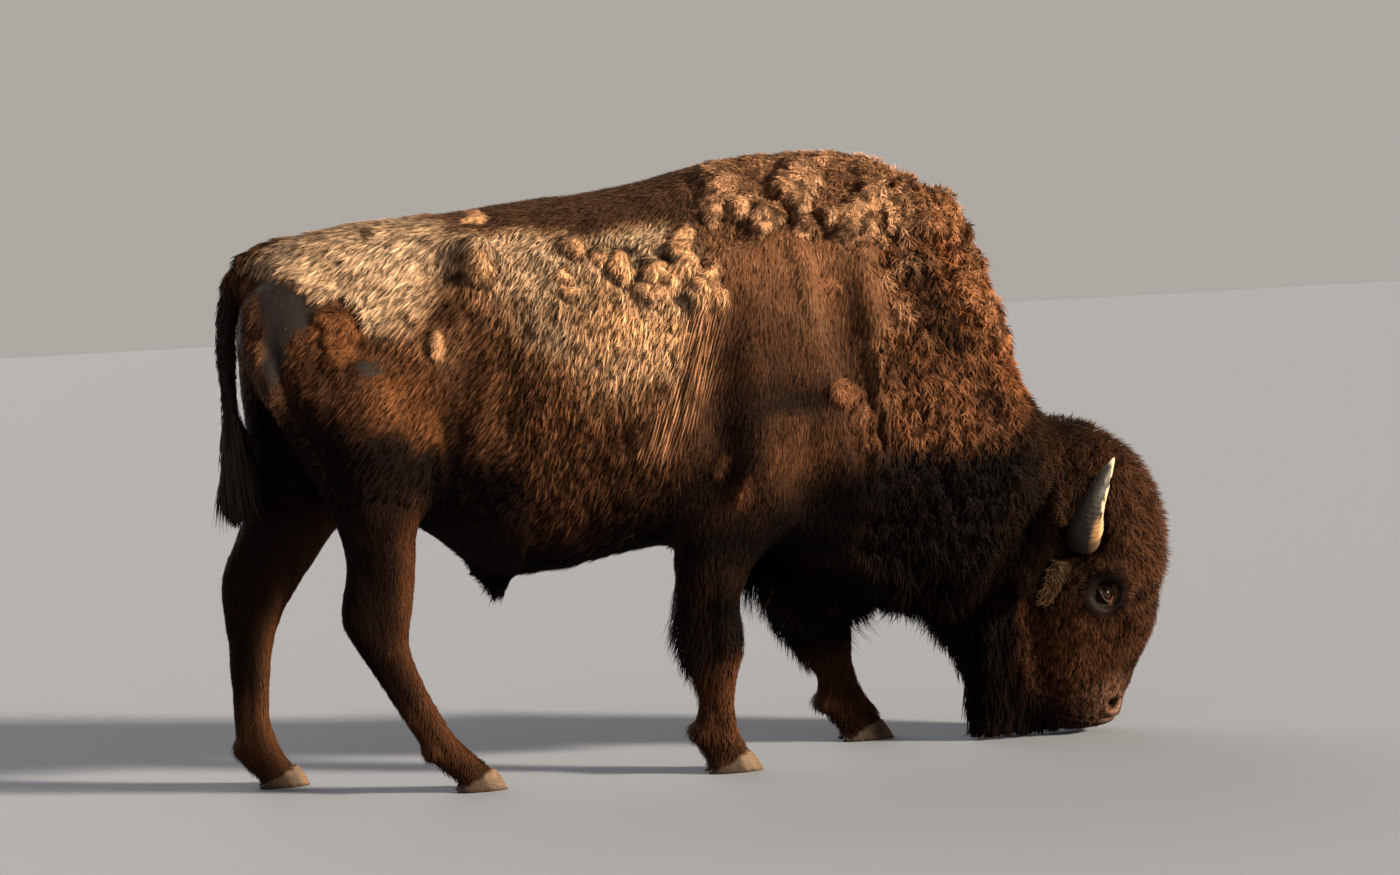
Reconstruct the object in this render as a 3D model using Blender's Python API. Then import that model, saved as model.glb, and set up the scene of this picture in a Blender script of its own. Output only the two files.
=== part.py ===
"""American bison bull, grazing: a still, life-size model in named, closed pieces.

The frame is metres with +X towards the head, +Y to the animal's left and +Z up. The floor is z = 0, and
the origin is on the floor, under the middle of the animal's box. Each form is a loft through a few
sections. The forms are welded into one body with a voxel remesh, smoothed and thinned, and that body is
then parted by thin cuts into the pieces that a person would name.
"""

import math

import bmesh
import bpy
import numpy as np
from mathutils import Matrix, Vector

# Sizes that drive the whole model, in metres.
CUT_GAP = 0.0004  # the gap that each cut leaves between two pieces
SHARPEST_SHIFT = 3.0  # a corner of a seat stands out by at most this many gaps
SECTION_STEP = 0.03  # spacing of the sections that a loft is filled in with
SECTION_POINTS = 36  # points round each section
BODY_VOXEL = 0.012
BODY_SMOOTHING = 5
BODY_TRIANGLES = 2500
COAT_COLOUR = (0.13, 0.06, 0.03)
DARK_COAT_COLOUR = (0.03, 0.017, 0.012)
HORN_COLOUR = (0.20, 0.17, 0.13)
EYE_COLOUR = (0.02, 0.012, 0.008)
HOOF_COLOUR = (0.24, 0.17, 0.11)

# Trunk and neck: x, top z, widest z, bottom z, half width, sharpness of the top and of the bottom.
# Sharpness 1 is an oval, more is a ridge and less is a box.
TRUNK = (
    (-1.262, 1.46, 1.40, 1.33, 0.055, 1.0, 1.0),
    (-1.235, 1.520, 1.38, 1.20, 0.115, 0.9, 1.0),
    (-1.17, 1.562, 1.34, 1.04, 0.175, 0.85, 1.0),
    (-1.06, 1.594, 1.26, 0.90, 0.225, 0.80, 1.0),
    (-0.92, 1.610, 1.18, 0.80, 0.262, 0.80, 1.0),
    (-0.80, 1.620, 1.12, 0.70, 0.290, 0.82, 0.9),
    (-0.66, 1.634, 1.06, 0.605, 0.322, 0.88, 0.9),
    (-0.50, 1.652, 1.02, 0.576, 0.350, 0.95, 0.85),
    (-0.30, 1.670, 1.00, 0.603, 0.366, 1.02, 0.85),
    (-0.12, 1.700, 0.98, 0.625, 0.364, 1.08, 0.9),
    (0.06, 1.742, 0.98, 0.610, 0.352, 1.18, 0.95),
    (0.20, 1.758, 0.98, 0.565, 0.344, 1.25, 1.0),
    (0.336, 1.762, 0.98, 0.480, 0.338, 1.28, 1.0),
    (0.48, 1.747, 0.96, 0.415, 0.332, 1.26, 1.0),
    (0.61, 1.712, 0.93, 0.395, 0.322, 1.18, 1.0),
    (0.70, 1.665, 0.90, 0.392, 0.308, 1.10, 1.0),
    (0.77, 1.610, 0.87, 0.395, 0.292, 1.02, 1.0),
    (0.82, 1.530, 0.84, 0.400, 0.274, 1.0, 1.0),
    (0.86, 1.430, 0.81, 0.405, 0.262, 0.95, 1.0),
    (0.91, 1.262, 0.77, 0.410, 0.246, 0.90, 1.0),
    (0.96, 1.080, 0.72, 0.415, 0.228, 0.90, 1.0),
    (1.02, 0.985, 0.68, 0.425, 0.205, 0.90, 1.0),
)

# Forms with level sections: z, front x, back x, middle y, half width. The y is that of a right-hand form.
HEAD = (
    (0.962, 1.10, 1.02, 0.0, 0.030),
    (0.940, 1.160, 0.975, 0.0, 0.090),
    (0.900, 1.222, 0.940, 0.0, 0.140),
    (0.850, 1.288, 0.915, 0.0, 0.175),
    (0.770, 1.346, 0.900, 0.0, 0.200),
    (0.680, 1.378, 0.890, 0.0, 0.208),
    (0.580, 1.396, 0.880, 0.0, 0.204),
    (0.490, 1.396, 0.875, 0.0, 0.192),
    (0.400, 1.374, 0.872, 0.0, 0.176),
    (0.310, 1.346, 0.885, 0.0, 0.152),
    (0.245, 1.318, 0.905, 0.0, 0.133),
    (0.180, 1.279, 0.935, 0.0, 0.116),
    (0.130, 1.242, 0.955, 0.0, 0.106),
    (0.090, 1.224, 0.970, 0.0, 0.102),
    (0.055, 1.222, 0.985, 0.0, 0.098),
    (0.028, 1.200, 1.000, 0.0, 0.088),
    (0.014, 1.165, 1.020, 0.0, 0.066),
)
BEARD = (
    (0.520, 1.000, 0.640, 0.0, 0.120),
    (0.430, 1.000, 0.590, 0.0, 0.130),
    (0.380, 1.000, 0.625, 0.0, 0.130),
    (0.310, 1.000, 0.690, 0.0, 0.120),
    (0.240, 1.010, 0.722, 0.0, 0.104),
    (0.160, 1.025, 0.730, 0.0, 0.086),
    (0.090, 1.040, 0.736, 0.0, 0.068),
    (0.040, 1.035, 0.746, 0.0, 0.050),
    (0.014, 1.010, 0.770, 0.0, 0.030),
)
HIND_RIGHT = (
    (1.480, -1.02, -1.20, -0.120, 0.060),
    (1.400, -0.95, -1.286, -0.140, 0.100),
    (1.300, -0.88, -1.308, -0.152, 0.122),
    (1.180, -0.83, -1.280, -0.162, 0.132),
    (1.040, -0.80, -1.200, -0.172, 0.130),
    (0.900, -0.80, -1.118, -0.178, 0.118),
    (0.800, -0.82, -1.083, -0.178, 0.102),
    (0.720, -0.845, -1.057, -0.176, 0.086),
    (0.640, -0.848, -1.047, -0.172, 0.070),
    (0.560, -0.856, -1.068, -0.170, 0.060),
    (0.490, -0.868, -1.072, -0.170, 0.056),
    (0.420, -0.876, -1.036, -0.170, 0.050),
    (0.300, -0.834, -0.968, -0.170, 0.041),
    (0.200, -0.787, -0.910, -0.170, 0.040),
    (0.145, -0.755, -0.876, -0.170, 0.047),
    (0.100, -0.708, -0.852, -0.170, 0.050),
    (0.060, -0.672, -0.812, -0.170, 0.050),
    (0.040, -0.672, -0.795, -0.170, 0.042),
)
HIND_LEFT = (
    (1.480, -1.02, -1.20, 0.120, 0.060),
    (1.400, -0.97, -1.284, 0.140, 0.100),
    (1.300, -0.93, -1.306, 0.152, 0.122),
    (1.180, -0.90, -1.300, 0.162, 0.132),
    (1.040, -0.90, -1.290, 0.170, 0.130),
    (0.900, -0.94, -1.285, 0.175, 0.118),
    (0.800, -0.99, -1.298, 0.175, 0.100),
    (0.720, -1.052, -1.336, 0.172, 0.084),
    (0.640, -1.112, -1.372, 0.170, 0.068),
    (0.580, -1.155, -1.385, 0.170, 0.060),
    (0.520, -1.196, -1.383, 0.170, 0.056),
    (0.430, -1.236, -1.375, 0.170, 0.049),
    (0.300, -1.259, -1.375, 0.170, 0.041),
    (0.190, -1.264, -1.370, 0.170, 0.041),
    (0.140, -1.250, -1.368, 0.170, 0.048),
    (0.095, -1.228, -1.366, 0.170, 0.051),
    (0.058, -1.208, -1.345, 0.170, 0.050),
    (0.040, -1.208, -1.330, 0.170, 0.042),
)
FORE_RIGHT = (
    (1.250, 0.34, 0.16, -0.200, 0.070),
    (1.120, 0.37, 0.06, -0.215, 0.100),
    (0.980, 0.38, -0.02, -0.225, 0.118),
    (0.850, 0.36, -0.08, -0.225, 0.122),
    (0.740, 0.28, -0.115, -0.215, 0.115),
    (0.640, 0.17, -0.132, -0.205, 0.098),
    (0.560, 0.095, -0.145, -0.198, 0.086),
    (0.480, 0.060, -0.152, -0.192, 0.078),
    (0.400, 0.066, -0.156, -0.190, 0.072),
    (0.330, 0.060, -0.135, -0.190, 0.064),
    (0.270, 0.044, -0.094, -0.190, 0.050),
    (0.210, 0.032, -0.080, -0.190, 0.044),
    (0.155, 0.028, -0.088, -0.190, 0.048),
    (0.110, 0.034, -0.100, -0.190, 0.056),
    (0.072, 0.056, -0.088, -0.190, 0.056),
    (0.045, 0.060, -0.070, -0.190, 0.046),
)
FORE_LEFT = (
    (1.250, 0.44, 0.26, 0.200, 0.070),
    (1.120, 0.50, 0.18, 0.215, 0.100),
    (0.980, 0.54, 0.13, 0.225, 0.118),
    (0.850, 0.55, 0.11, 0.225, 0.122),
    (0.740, 0.53, 0.12, 0.215, 0.115),
    (0.640, 0.50, 0.135, 0.205, 0.098),
    (0.560, 0.475, 0.150, 0.198, 0.088),
    (0.480, 0.460, 0.165, 0.192, 0.080),
    (0.400, 0.460, 0.190, 0.190, 0.073),
    (0.330, 0.462, 0.232, 0.190, 0.066),
    (0.270, 0.458, 0.280, 0.190, 0.056),
    (0.215, 0.462, 0.338, 0.190, 0.045),
    (0.160, 0.480, 0.345, 0.190, 0.047),
    (0.115, 0.508, 0.345, 0.190, 0.055),
    (0.075, 0.538, 0.375, 0.190, 0.056),
    (0.045, 0.542, 0.395, 0.190, 0.046),
)
# The penis sheath under the belly.
SHEATH = (
    (0.660, -0.50, -0.76, 0.0, 0.060),
    (0.600, -0.54, -0.70, 0.0, 0.050),
    (0.560, -0.565, -0.655, 0.0, 0.034),
    (0.520, -0.578, -0.628, 0.0, 0.022),
    (0.492, -0.588, -0.612, 0.0, 0.012),
)

# Tubes along a path: x, y, z and radius.
TAIL = (
    (-1.190, 0.0, 1.490, 0.040),
    (-1.238, 0.0, 1.500, 0.042),
    (-1.285, 0.0, 1.462, 0.040),
    (-1.318, 0.0, 1.390, 0.037),
    (-1.332, 0.0, 1.290, 0.034),
    (-1.334, 0.0, 1.190, 0.031),
    (-1.330, 0.0, 1.090, 0.029),
    (-1.322, 0.0, 1.020, 0.038),
    (-1.318, 0.0, 0.950, 0.042),
    (-1.325, 0.0, 0.880, 0.040),
    (-1.342, 0.0, 0.830, 0.030),
    (-1.362, 0.0, 0.800, 0.008),
)
HORN = (
    (1.084, -0.145, 0.586, 0.050),
    (1.078, -0.175, 0.592, 0.049),
    (1.070, -0.215, 0.608, 0.047),
    (1.066, -0.255, 0.642, 0.043),
    (1.076, -0.280, 0.690, 0.036),
    (1.098, -0.285, 0.738, 0.027),
    (1.125, -0.276, 0.782, 0.016),
    (1.151, -0.262, 0.820, 0.004),
)

EYE_CENTRE = (1.138, -0.146, 0.420)
EYE_RADIUS = 0.023
ORBIT_CENTRE = (1.142, -0.190, 0.421)
ORBIT_RADII = (0.040, 0.036, 0.036)
NOSTRIL_CENTRE = (1.186, -0.085, 0.092)
NOSTRIL_RADII = (0.024, 0.022, 0.013)
EAR_BASE = (1.018, -0.150, 0.530)
EAR_TIP = (0.922, -0.266, 0.414)
EAR_HALF_WIDTH = 0.038
EAR_THICKNESS = 0.022
EAR_STATIONS = (0, 0.14, 0.32, 0.52, 0.72, 0.88, 1)

# Feet: middle x of the sole, y, length of the sole, width of one claw, height of the toe wall, and the
# x of the dewclaws.
FEET = {
    "fore_right": (0.016, -0.190, 0.168, 0.058, 0.078, -0.092),
    "fore_left": (0.488, 0.190, 0.168, 0.058, 0.078, 0.352),
    "hind_right": (-0.703, -0.170, 0.152, 0.052, 0.072, -0.844),
    "hind_left": (-1.236, 0.170, 0.152, 0.052, 0.072, -1.358),
}
CLAW_PARTING = 0.0035  # half the cleft between the two claws of a foot
# Level in a claw's height, and how far the toe, the heel and the outer wall draw in there.
CLAW_LEVELS = ((0, 0, 0, 0), (0.35, 0.16, 0.0, 0.04), (0.75, 0.40, 0.04, 0.12), (1, 0.52, 0.12, 0.22))
DEWCLAW_LENGTH = 0.046
DEWCLAW_SPREAD = 0.024  # from the middle of the foot to the middle of a dewclaw
DEWCLAW_RADIUS = 0.014
DEWCLAW_RISE = 0.112  # of the middle of a dewclaw above the floor

# Cuts: each block is an outline in x and z between two values of y.
HEAD_BLOCK = ((1.012, 1.080), (0.700, 0.330), (0.640, -0.100), (1.600, -0.100), (1.600, 1.080))
BEARD_BLOCK = ((0.600, 0.400), (0.780, 0.400), (1.012, 0.100), (1.028, -0.100), (0.600, -0.100))
NECK_BLOCK = ((0.800, 1.700), (0.360, 0.300), (0.700, 0.200), (1.200, 0.600), (1.200, 1.700))
HUMP_BLOCK = ((-0.420, 1.720), (0.900, 1.300), (0.900, 1.900), (-0.420, 1.900))
TUFT_BLOCK = ((-1.450, 1.090), (-1.250, 1.090), (-1.250, 0.700), (-1.450, 0.700))
RUMP_BLOCK = ((-0.700, 1.800), (-0.760, 0.500), (-1.600, 0.500), (-1.600, 1.800))
LEG_BLOCKS = {
    "fore_right": (((-0.300, 0.560), (0.130, 0.530), (0.140, 0.300), (0.200, -0.100), (-0.300, -0.100)), -1),
    "fore_left": (((0.050, 0.500), (0.440, 0.390), (0.540, 0.390), (0.640, -0.100), (0.050, -0.100)), 1),
    "hind_right": (((-1.200, 0.860), (-0.780, 0.760), (-0.560, -0.100), (-1.100, -0.100)), -1),
    "hind_left": (((-1.500, 0.840), (-0.970, 0.740), (-1.000, -0.100), (-1.500, -0.100)), 1),
}


def filled_in(rows, step=SECTION_STEP):
    """The rows of a table with more rows between them, on smooth curves through the given ones."""
    rows = np.array(rows, float)
    along = np.concatenate([[0], np.cumsum(np.abs(np.diff(rows[:, 0])) + 1e-9)])
    slopes = np.gradient(rows, along, axis=0)
    made = []
    for a, b, low, high, start, end in zip(
        along, along[1:], rows, rows[1:], slopes, slopes[1:], strict=False
    ):
        count = max(1, math.ceil((b - a) / step))
        for t in np.arange(count) / count:
            made.append(
                (2 * t**3 - 3 * t**2 + 1) * low
                + (t**3 - 2 * t**2 + t) * (b - a) * start
                + (3 * t**2 - 2 * t**3) * high
                + (t**3 - t**2) * (b - a) * end
            )
    return [*made, rows[-1]]


def loft(name, rings):
    """A closed object through rings of equally many points, with a flat cap at each end."""
    mesh = bmesh.new()
    loops = [[mesh.verts.new(point) for point in ring] for ring in rings]
    for first, second in zip(loops, loops[1:], strict=False):
        for i, vertex in enumerate(first):
            after = (i + 1) % len(first)
            mesh.faces.new((vertex, first[after], second[after], second[i]))
    mesh.faces.new(reversed(loops[0]))
    mesh.faces.new(loops[-1])
    bmesh.ops.recalc_face_normals(mesh, faces=mesh.faces)
    return as_object(name, mesh)


def as_object(name, mesh):
    """An object from a bmesh, in triangles, so that a seat cut for it has the same facets."""
    bmesh.ops.triangulate(mesh, faces=mesh.faces)
    data = bpy.data.meshes.new(name)
    mesh.to_mesh(data)
    mesh.free()
    made = bpy.data.objects.new(name, data)
    bpy.context.scene.collection.objects.link(made)
    return made


def powered(value, power):
    """A power of a value's size, with its sign."""
    return math.copysign(abs(value) ** power, value)


def angles(count=SECTION_POINTS):
    """Equal steps round a circle."""
    return [2 * math.pi * i / count for i in range(count)]


def trunk_ring(x, top, widest, bottom, half, top_sharpness, bottom_sharpness):
    """An upright section across the animal."""
    ring = []
    for angle in angles():
        up = math.cos(angle)
        reach, sharpness = (top - widest, top_sharpness) if up > 0 else (widest - bottom, bottom_sharpness)
        ring.append((x, half * powered(math.sin(angle), sharpness), widest + reach * up))
    return ring


def level_ring(z, front, back, y, half, squareness):
    """A level section, between an oval and a box."""
    power = 2 / squareness
    return [
        (
            (front + back) / 2 + (front - back) / 2 * powered(math.cos(angle), power),
            y + half * powered(math.sin(angle), power),
            z,
        )
        for angle in angles()
    ]


def level_form(name, rows, squareness=2.2):
    """A form with level sections, such as a leg."""
    return loft(name, [level_ring(*row, squareness) for row in filled_in(rows)])


def tube(name, rows, count=10, step=0.042):
    """A closed tube along a path of x, y, z and radius, its sections square to the path and not twisted."""
    rows = np.array(rows, float)
    steps = np.concatenate([[0], np.cumsum(np.linalg.norm(np.diff(rows[:, :3], axis=0), axis=1))])
    table = np.array(filled_in(np.column_stack([steps, rows]), step))
    path, radii = table[:, 1:4], table[:, 4]
    rings = []
    across = Vector((1, 0.3, 0))
    for place, forward, radius in zip(path, np.gradient(path, axis=0), radii, strict=True):
        along = Vector(forward).normalized()
        across = (across - along * across.dot(along)).normalized()
        beside = along.cross(across)
        rings.append(
            [
                Vector(place) + (across * math.cos(a) + beside * math.sin(a)) * radius
                for a in angles(count)
            ]
        )
    return loft(name, rings)


def ball(name, centre, radii, columns=12, rows=8):
    """A ball stretched to a radius along each of x, y and z."""
    mesh = bmesh.new()
    bmesh.ops.create_uvsphere(mesh, u_segments=columns, v_segments=rows, radius=1)
    place = Matrix.Translation(centre) @ Matrix.Diagonal((*radii, 1))
    bmesh.ops.transform(mesh, matrix=place, verts=mesh.verts)
    return as_object(name, mesh)


def block(name, outline, low_y=-1.0, high_y=1.0):
    """A cutter: an outline in x and z, drawn out between two values of y."""
    return loft(name, [[(x, y, z) for x, z in outline] for y in (low_y, high_y)])


def mirrored(name, source):
    """A copy of an object on the other side of the animal."""
    made = bpy.data.objects.new(name, source.data.copy())
    bpy.context.scene.collection.objects.link(made)
    made.data.transform(Matrix.Diagonal((1, -1, 1, 1)))
    made.data.flip_normals()
    for slot, material in enumerate(made.data.materials):
        made.data.materials[slot] = material.copy()
        made.data.materials[slot].name = name
    return made


def remove(*objects):
    """Takes objects out of the file."""
    for unwanted in objects:
        bpy.data.objects.remove(unwanted)


def baked(source):
    """Replaces an object's mesh by what its modifiers make of it."""
    graph = bpy.context.evaluated_depsgraph_get()
    data = bpy.data.meshes.new_from_object(source.evaluated_get(graph))
    source.modifiers.clear()
    source.data = data
    return source


def cut(target, cutter, operation="DIFFERENCE"):
    """Cuts one object with another, for good."""
    modifier = target.modifiers.new("cut", "BOOLEAN")
    modifier.operation = operation
    modifier.object = cutter
    return baked(target)


def swollen(source, by=CUT_GAP):
    """A copy that stands out from an object by a small gap, to cut its seat with."""
    made = bpy.data.objects.new(source.name + "_seat", source.data.copy())
    bpy.context.scene.collection.objects.link(made)
    mesh = bmesh.new()
    mesh.from_mesh(made.data)
    mesh.normal_update()
    shift = [vertex.normal * by * min(vertex.calc_shell_factor(), SHARPEST_SHIFT) for vertex in mesh.verts]
    for vertex, step in zip(mesh.verts, shift, strict=True):
        vertex.co += step
    mesh.to_mesh(made.data)
    mesh.free()
    return made


def split_off(body, name, cutter):
    """Parts a named piece from the body: what lies in the cutter, with a thin gap left round it."""
    piece = bpy.data.objects.new(name, body.data.copy())
    bpy.context.scene.collection.objects.link(piece)
    cut(piece, cutter, "INTERSECT")
    grown = swollen(cutter)
    cut(body, grown)
    remove(cutter, grown)
    return piece


def finished(piece, colour, roughness):
    """Gives a piece its own plain material, and the piece back."""
    material = bpy.data.materials.new(piece.name)
    material.use_nodes = True
    shader = material.node_tree.nodes["Principled BSDF"]
    shader.inputs["Base Color"].default_value = (*colour, 1)
    shader.inputs["Roughness"].default_value = roughness
    shader.inputs["Metallic"].default_value = 0.0
    piece.data.materials.clear()
    piece.data.materials.append(material)
    return piece


def whole_body():
    """The coat's outer shape as one closed mesh, from the welded forms."""
    forms = [
        loft("trunk_form", [trunk_ring(*row) for row in filled_in(TRUNK)]),
        level_form("head_form", HEAD, 2.5),
        level_form("beard_form", BEARD),
        level_form("hind_right_form", HIND_RIGHT),
        level_form("hind_left_form", HIND_LEFT),
        level_form("fore_right_form", FORE_RIGHT),
        level_form("fore_left_form", FORE_LEFT),
        level_form("sheath_form", SHEATH),
    ]
    joined = bmesh.new()
    for form in forms:
        joined.from_mesh(form.data)
    remove(*forms)
    body = as_object("trunk", joined)
    weld = body.modifiers.new("weld", "REMESH")
    weld.mode = "VOXEL"
    weld.voxel_size = BODY_VOXEL
    relax = body.modifiers.new("relax", "SMOOTH")
    relax.iterations = BODY_SMOOTHING
    relax.factor = 0.5
    baked(body)
    thin = body.modifiers.new("thin", "DECIMATE")
    thin.use_collapse_triangulate = True
    thin.ratio = BODY_TRIANGLES / (2 * len(body.data.polygons))
    return baked(body)


def claw(name, foot, side):
    """One claw of a cloven hoof: flat underneath, round outside, nearly flat on the cleft side."""
    middle_x, middle_y, length, width, height, _ = FEET[foot]
    inner = middle_y + side * CLAW_PARTING
    rings = []
    for level, toe_in, heel_in, wall_in in CLAW_LEVELS:
        toe = middle_x + length * (0.5 - 0.5 * toe_in)
        heel = middle_x - length * (0.5 - 0.5 * heel_in)
        wall = width * (1 - wall_in)
        ring = []
        for angle in angles(14):
            along = powered(math.cos(angle), 0.85)
            across = powered(math.sin(angle), 0.9)
            x = (toe + heel) / 2 + (toe - heel) / 2 * along
            narrowing = 1 - 0.35 * max(0, along) ** 2
            outward = (across + 1) / 2 * wall * narrowing
            ring.append((x, inner + side * outward, level * height * (1 - 0.35 * (1 - along) / 2)))
        rings.append(ring)
    return finished(loft(name, rings), HOOF_COLOUR, 0.5)


def centre_on_origin():
    """Moves the whole animal along the floor until the middle of its box is over the origin."""
    meshes = [piece.data for piece in bpy.data.objects]
    places = np.concatenate([[vertex.co for vertex in mesh.vertices] for mesh in meshes])
    middle = (places.min(axis=0) + places.max(axis=0)) / 2
    for mesh in meshes:
        mesh.transform(Matrix.Translation((-middle[0], -middle[1], 0)))


def dewclaw(name, foot, side):
    """One of the two small hooves behind the fetlock, pointing down and back."""
    _, middle_y, _, _, _, x = FEET[foot]
    y = middle_y + side * DEWCLAW_SPREAD
    top = (x + DEWCLAW_RADIUS, y, DEWCLAW_RISE + DEWCLAW_LENGTH / 2)
    tip = (x - DEWCLAW_RADIUS, y + side * 0.004, DEWCLAW_RISE - DEWCLAW_LENGTH / 2)
    middle = [(a + b) / 2 for a, b in zip(top, tip, strict=True)]
    rows = ((*top, DEWCLAW_RADIUS * 0.8), (*middle, DEWCLAW_RADIUS), (*tip, DEWCLAW_RADIUS * 0.5))
    return finished(tube(name, rows, 8), HOOF_COLOUR, 0.5)


def ear(name):
    """A leaf-shaped ear, hollow in front, pointing out and back from behind the horn."""
    base, tip = Vector(EAR_BASE), Vector(EAR_TIP)
    along = (tip - base).normalized()
    across = along.cross(Vector((0, 1, 0))).normalized()
    out = across.cross(along)
    if out.y > 0:
        out = -out
    rings = []
    for t in EAR_STATIONS:
        half = EAR_HALF_WIDTH * (0.42 + 0.58 * math.sin(math.pi * (0.1 + 0.9 * t) ** 0.85))
        thick = EAR_THICKNESS * (1 - 0.6 * t) / 2
        ring = []
        for angle in angles(12):
            u, v = math.cos(angle), math.sin(angle)
            cupped = 0.3 * half * u * u
            ring.append(base + (tip - base) * t + across * half * u + out * (thick * v + cupped))
        rings.append(ring)
    return finished(loft(name, rings), DARK_COAT_COLOUR, 0.9)


def main():
    """Models the animal whole, seats the hard pieces in it, and parts it by thin cuts."""
    remove(*bpy.data.objects)
    body = whole_body()

    dock = finished(tube("tail_dock", TAIL), COAT_COLOUR, 0.9)
    finished(split_off(dock, "tail_tuft", block("tuft_block", TUFT_BLOCK)), DARK_COAT_COLOUR, 0.9)
    seated = [dock]
    for foot in FEET:
        for side, place in ((-1, "right"), (1, "left")):
            seated.append(claw(f"claw_{foot}_{place}", foot, side))
            seated.append(dewclaw(f"dewclaw_{foot}_{place}", foot, side))

    horn_right = finished(tube("horn_right", HORN), HORN_COLOUR, 0.4)
    ear_right = ear("ear_right")
    eye_right = finished(ball("eye_right", EYE_CENTRE, (EYE_RADIUS,) * 3), EYE_COLOUR, 0.05)
    seated += [horn_right, ear_right, eye_right]
    for piece in (horn_right, ear_right, eye_right):
        seated.append(mirrored(piece.name.replace("right", "left"), piece))

    for hollow in (
        ball("orbit", ORBIT_CENTRE, ORBIT_RADII, 10, 8),
        ball("nostril", NOSTRIL_CENTRE, NOSTRIL_RADII, 8, 6),
    ):
        other = mirrored(hollow.name + "_left", hollow)
        cut(body, hollow)
        cut(body, other)
        remove(hollow, other)
    for piece in seated:
        seat = swollen(piece)
        cut(body, seat)
        remove(seat)

    head = split_off(body, "head", block("head_block", HEAD_BLOCK))
    beard = split_off(head, "beard", block("beard_block", BEARD_BLOCK))
    for foot, (outline, side) in LEG_BLOCKS.items():
        low, high = sorted((side * 0.035, side * 0.60))
        leg = split_off(body, f"leg_{foot}", block("leg_block", outline, low, high))
        finished(leg, DARK_COAT_COLOUR, 0.9)
    neck = split_off(body, "neck", block("neck_block", NECK_BLOCK))
    hump = split_off(body, "hump", block("hump_block", HUMP_BLOCK))
    rump = split_off(body, "hindquarters", block("rump_block", RUMP_BLOCK))
    for piece in (body, neck, hump, rump):
        finished(piece, COAT_COLOUR, 0.9)
    for piece in (head, beard):
        finished(piece, DARK_COAT_COLOUR, 0.9)
    centre_on_origin()


main()
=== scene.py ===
"""Looks of the grazing american bison bull: one skin, a coat of solid tufts, horns, hooves and eyes.

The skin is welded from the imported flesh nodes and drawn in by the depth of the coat. Every point of it
carries the coat's recipe there: colour, length, width, lie, lift, curl and how many tufts grow. A Geometry
Nodes tree reads that recipe and grows the tufts, one coat piece for each part of the animal.
"""

import math

import bmesh
import bpy
import numpy as np
from mathutils import Matrix, Vector
from mathutils.bvhtree import BVHTree


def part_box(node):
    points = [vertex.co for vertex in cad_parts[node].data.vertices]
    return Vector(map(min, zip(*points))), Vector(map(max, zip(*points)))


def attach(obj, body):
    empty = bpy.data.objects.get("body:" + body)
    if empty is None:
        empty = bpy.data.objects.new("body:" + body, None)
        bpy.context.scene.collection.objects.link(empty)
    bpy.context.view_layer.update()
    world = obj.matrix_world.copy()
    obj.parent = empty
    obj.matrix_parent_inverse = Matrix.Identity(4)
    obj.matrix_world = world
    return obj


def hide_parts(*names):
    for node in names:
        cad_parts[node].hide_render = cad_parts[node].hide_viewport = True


FLESH = (
    "head", "beard", "neck", "hump", "trunk", "hindquarters",
    "leg_fore_right", "leg_fore_left", "leg_hind_right", "leg_hind_left",
    "tail_dock", "tail_tuft",
)
EARS = ("ear_right", "ear_left")
FEET = ("fore_right", "fore_left", "hind_right", "hind_left")
CLAWS, DEWCLAWS = (
    tuple(kind + foot + side for foot in FEET for side in ("_right", "_left"))
    for kind in ("claw_", "dewclaw_")
)
RIGHT, LEFT = -1, 1  # signs of y: the animal faces +X

# The skin's own sizes, in metres.
WELD_VOXEL, SKIN_VOXEL, EAR_VOXEL, HOOF_VOXEL, DEWCLAW_VOXEL = 0.0115, 0.0176, 0.0042, 0.0042, 0.0028
DRAW_IN_STEPS = 4
EAR_HAIR = 0.0065  # how far the ear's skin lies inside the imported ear
RIB_WIDTH, RIB_SLANT = 0.0095, 0.375  # the ribs of the combed hair, and how they lean

# The camera: bearing and height of view, distance, lens and the sideways tilt of the slope it stands on.
CAMERA_BEARING = math.radians(-10)
CAMERA_RISE = math.radians(3.35)
CAMERA_ROLL = math.radians(-2.97)
CAMERA_DISTANCE = 9.0
CAMERA_LENS = 80.42
CAMERA_TARGET = (-0.0058, 0.0, 0.938)

# Colours of the coat and the bare parts, as linear red, green and blue.
PALE_WOOL = (0.49, 0.330, 0.205)
WARM_WOOL = (0.43, 0.225, 0.112)
TAN_WOOL = (0.24, 0.115, 0.055)
RUST_WOOL = (0.098, 0.040, 0.017)
FOXY = (0.165, 0.062, 0.022)
BROWN = (0.052, 0.021, 0.0095)
HUMP_WOOL = (0.57, 0.300, 0.160)
SHOULDER = (0.066, 0.029, 0.0145)
MANE = (0.128, 0.051, 0.022)
MANE_EDGE = (0.27, 0.085, 0.028)
DARK_BROWN = (0.0135, 0.0060, 0.0032)
CROWN_BROWN = (0.026, 0.0115, 0.0055)
FOREHEAD = (0.050, 0.0200, 0.0090)
BLACKISH = (0.0044, 0.0024, 0.0017)
SHIN_BROWN = (0.058, 0.0215, 0.0088)
EAR_BROWN = (0.058, 0.033, 0.0175)
BARE_SKIN = (0.0115, 0.0092, 0.0090)
EYE_SKIN = (0.0065, 0.0034, 0.0021)
EYE_CORNER = (0.11, 0.036, 0.028)
NOSE_SKIN = (0.060, 0.035, 0.025)
NOSTRIL_RIM = (0.300, 0.140, 0.095)


# ---- small tools

def link(name, mesh):
    made = bpy.data.objects.new(name, mesh)
    bpy.context.scene.collection.objects.link(made)
    return made


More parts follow.
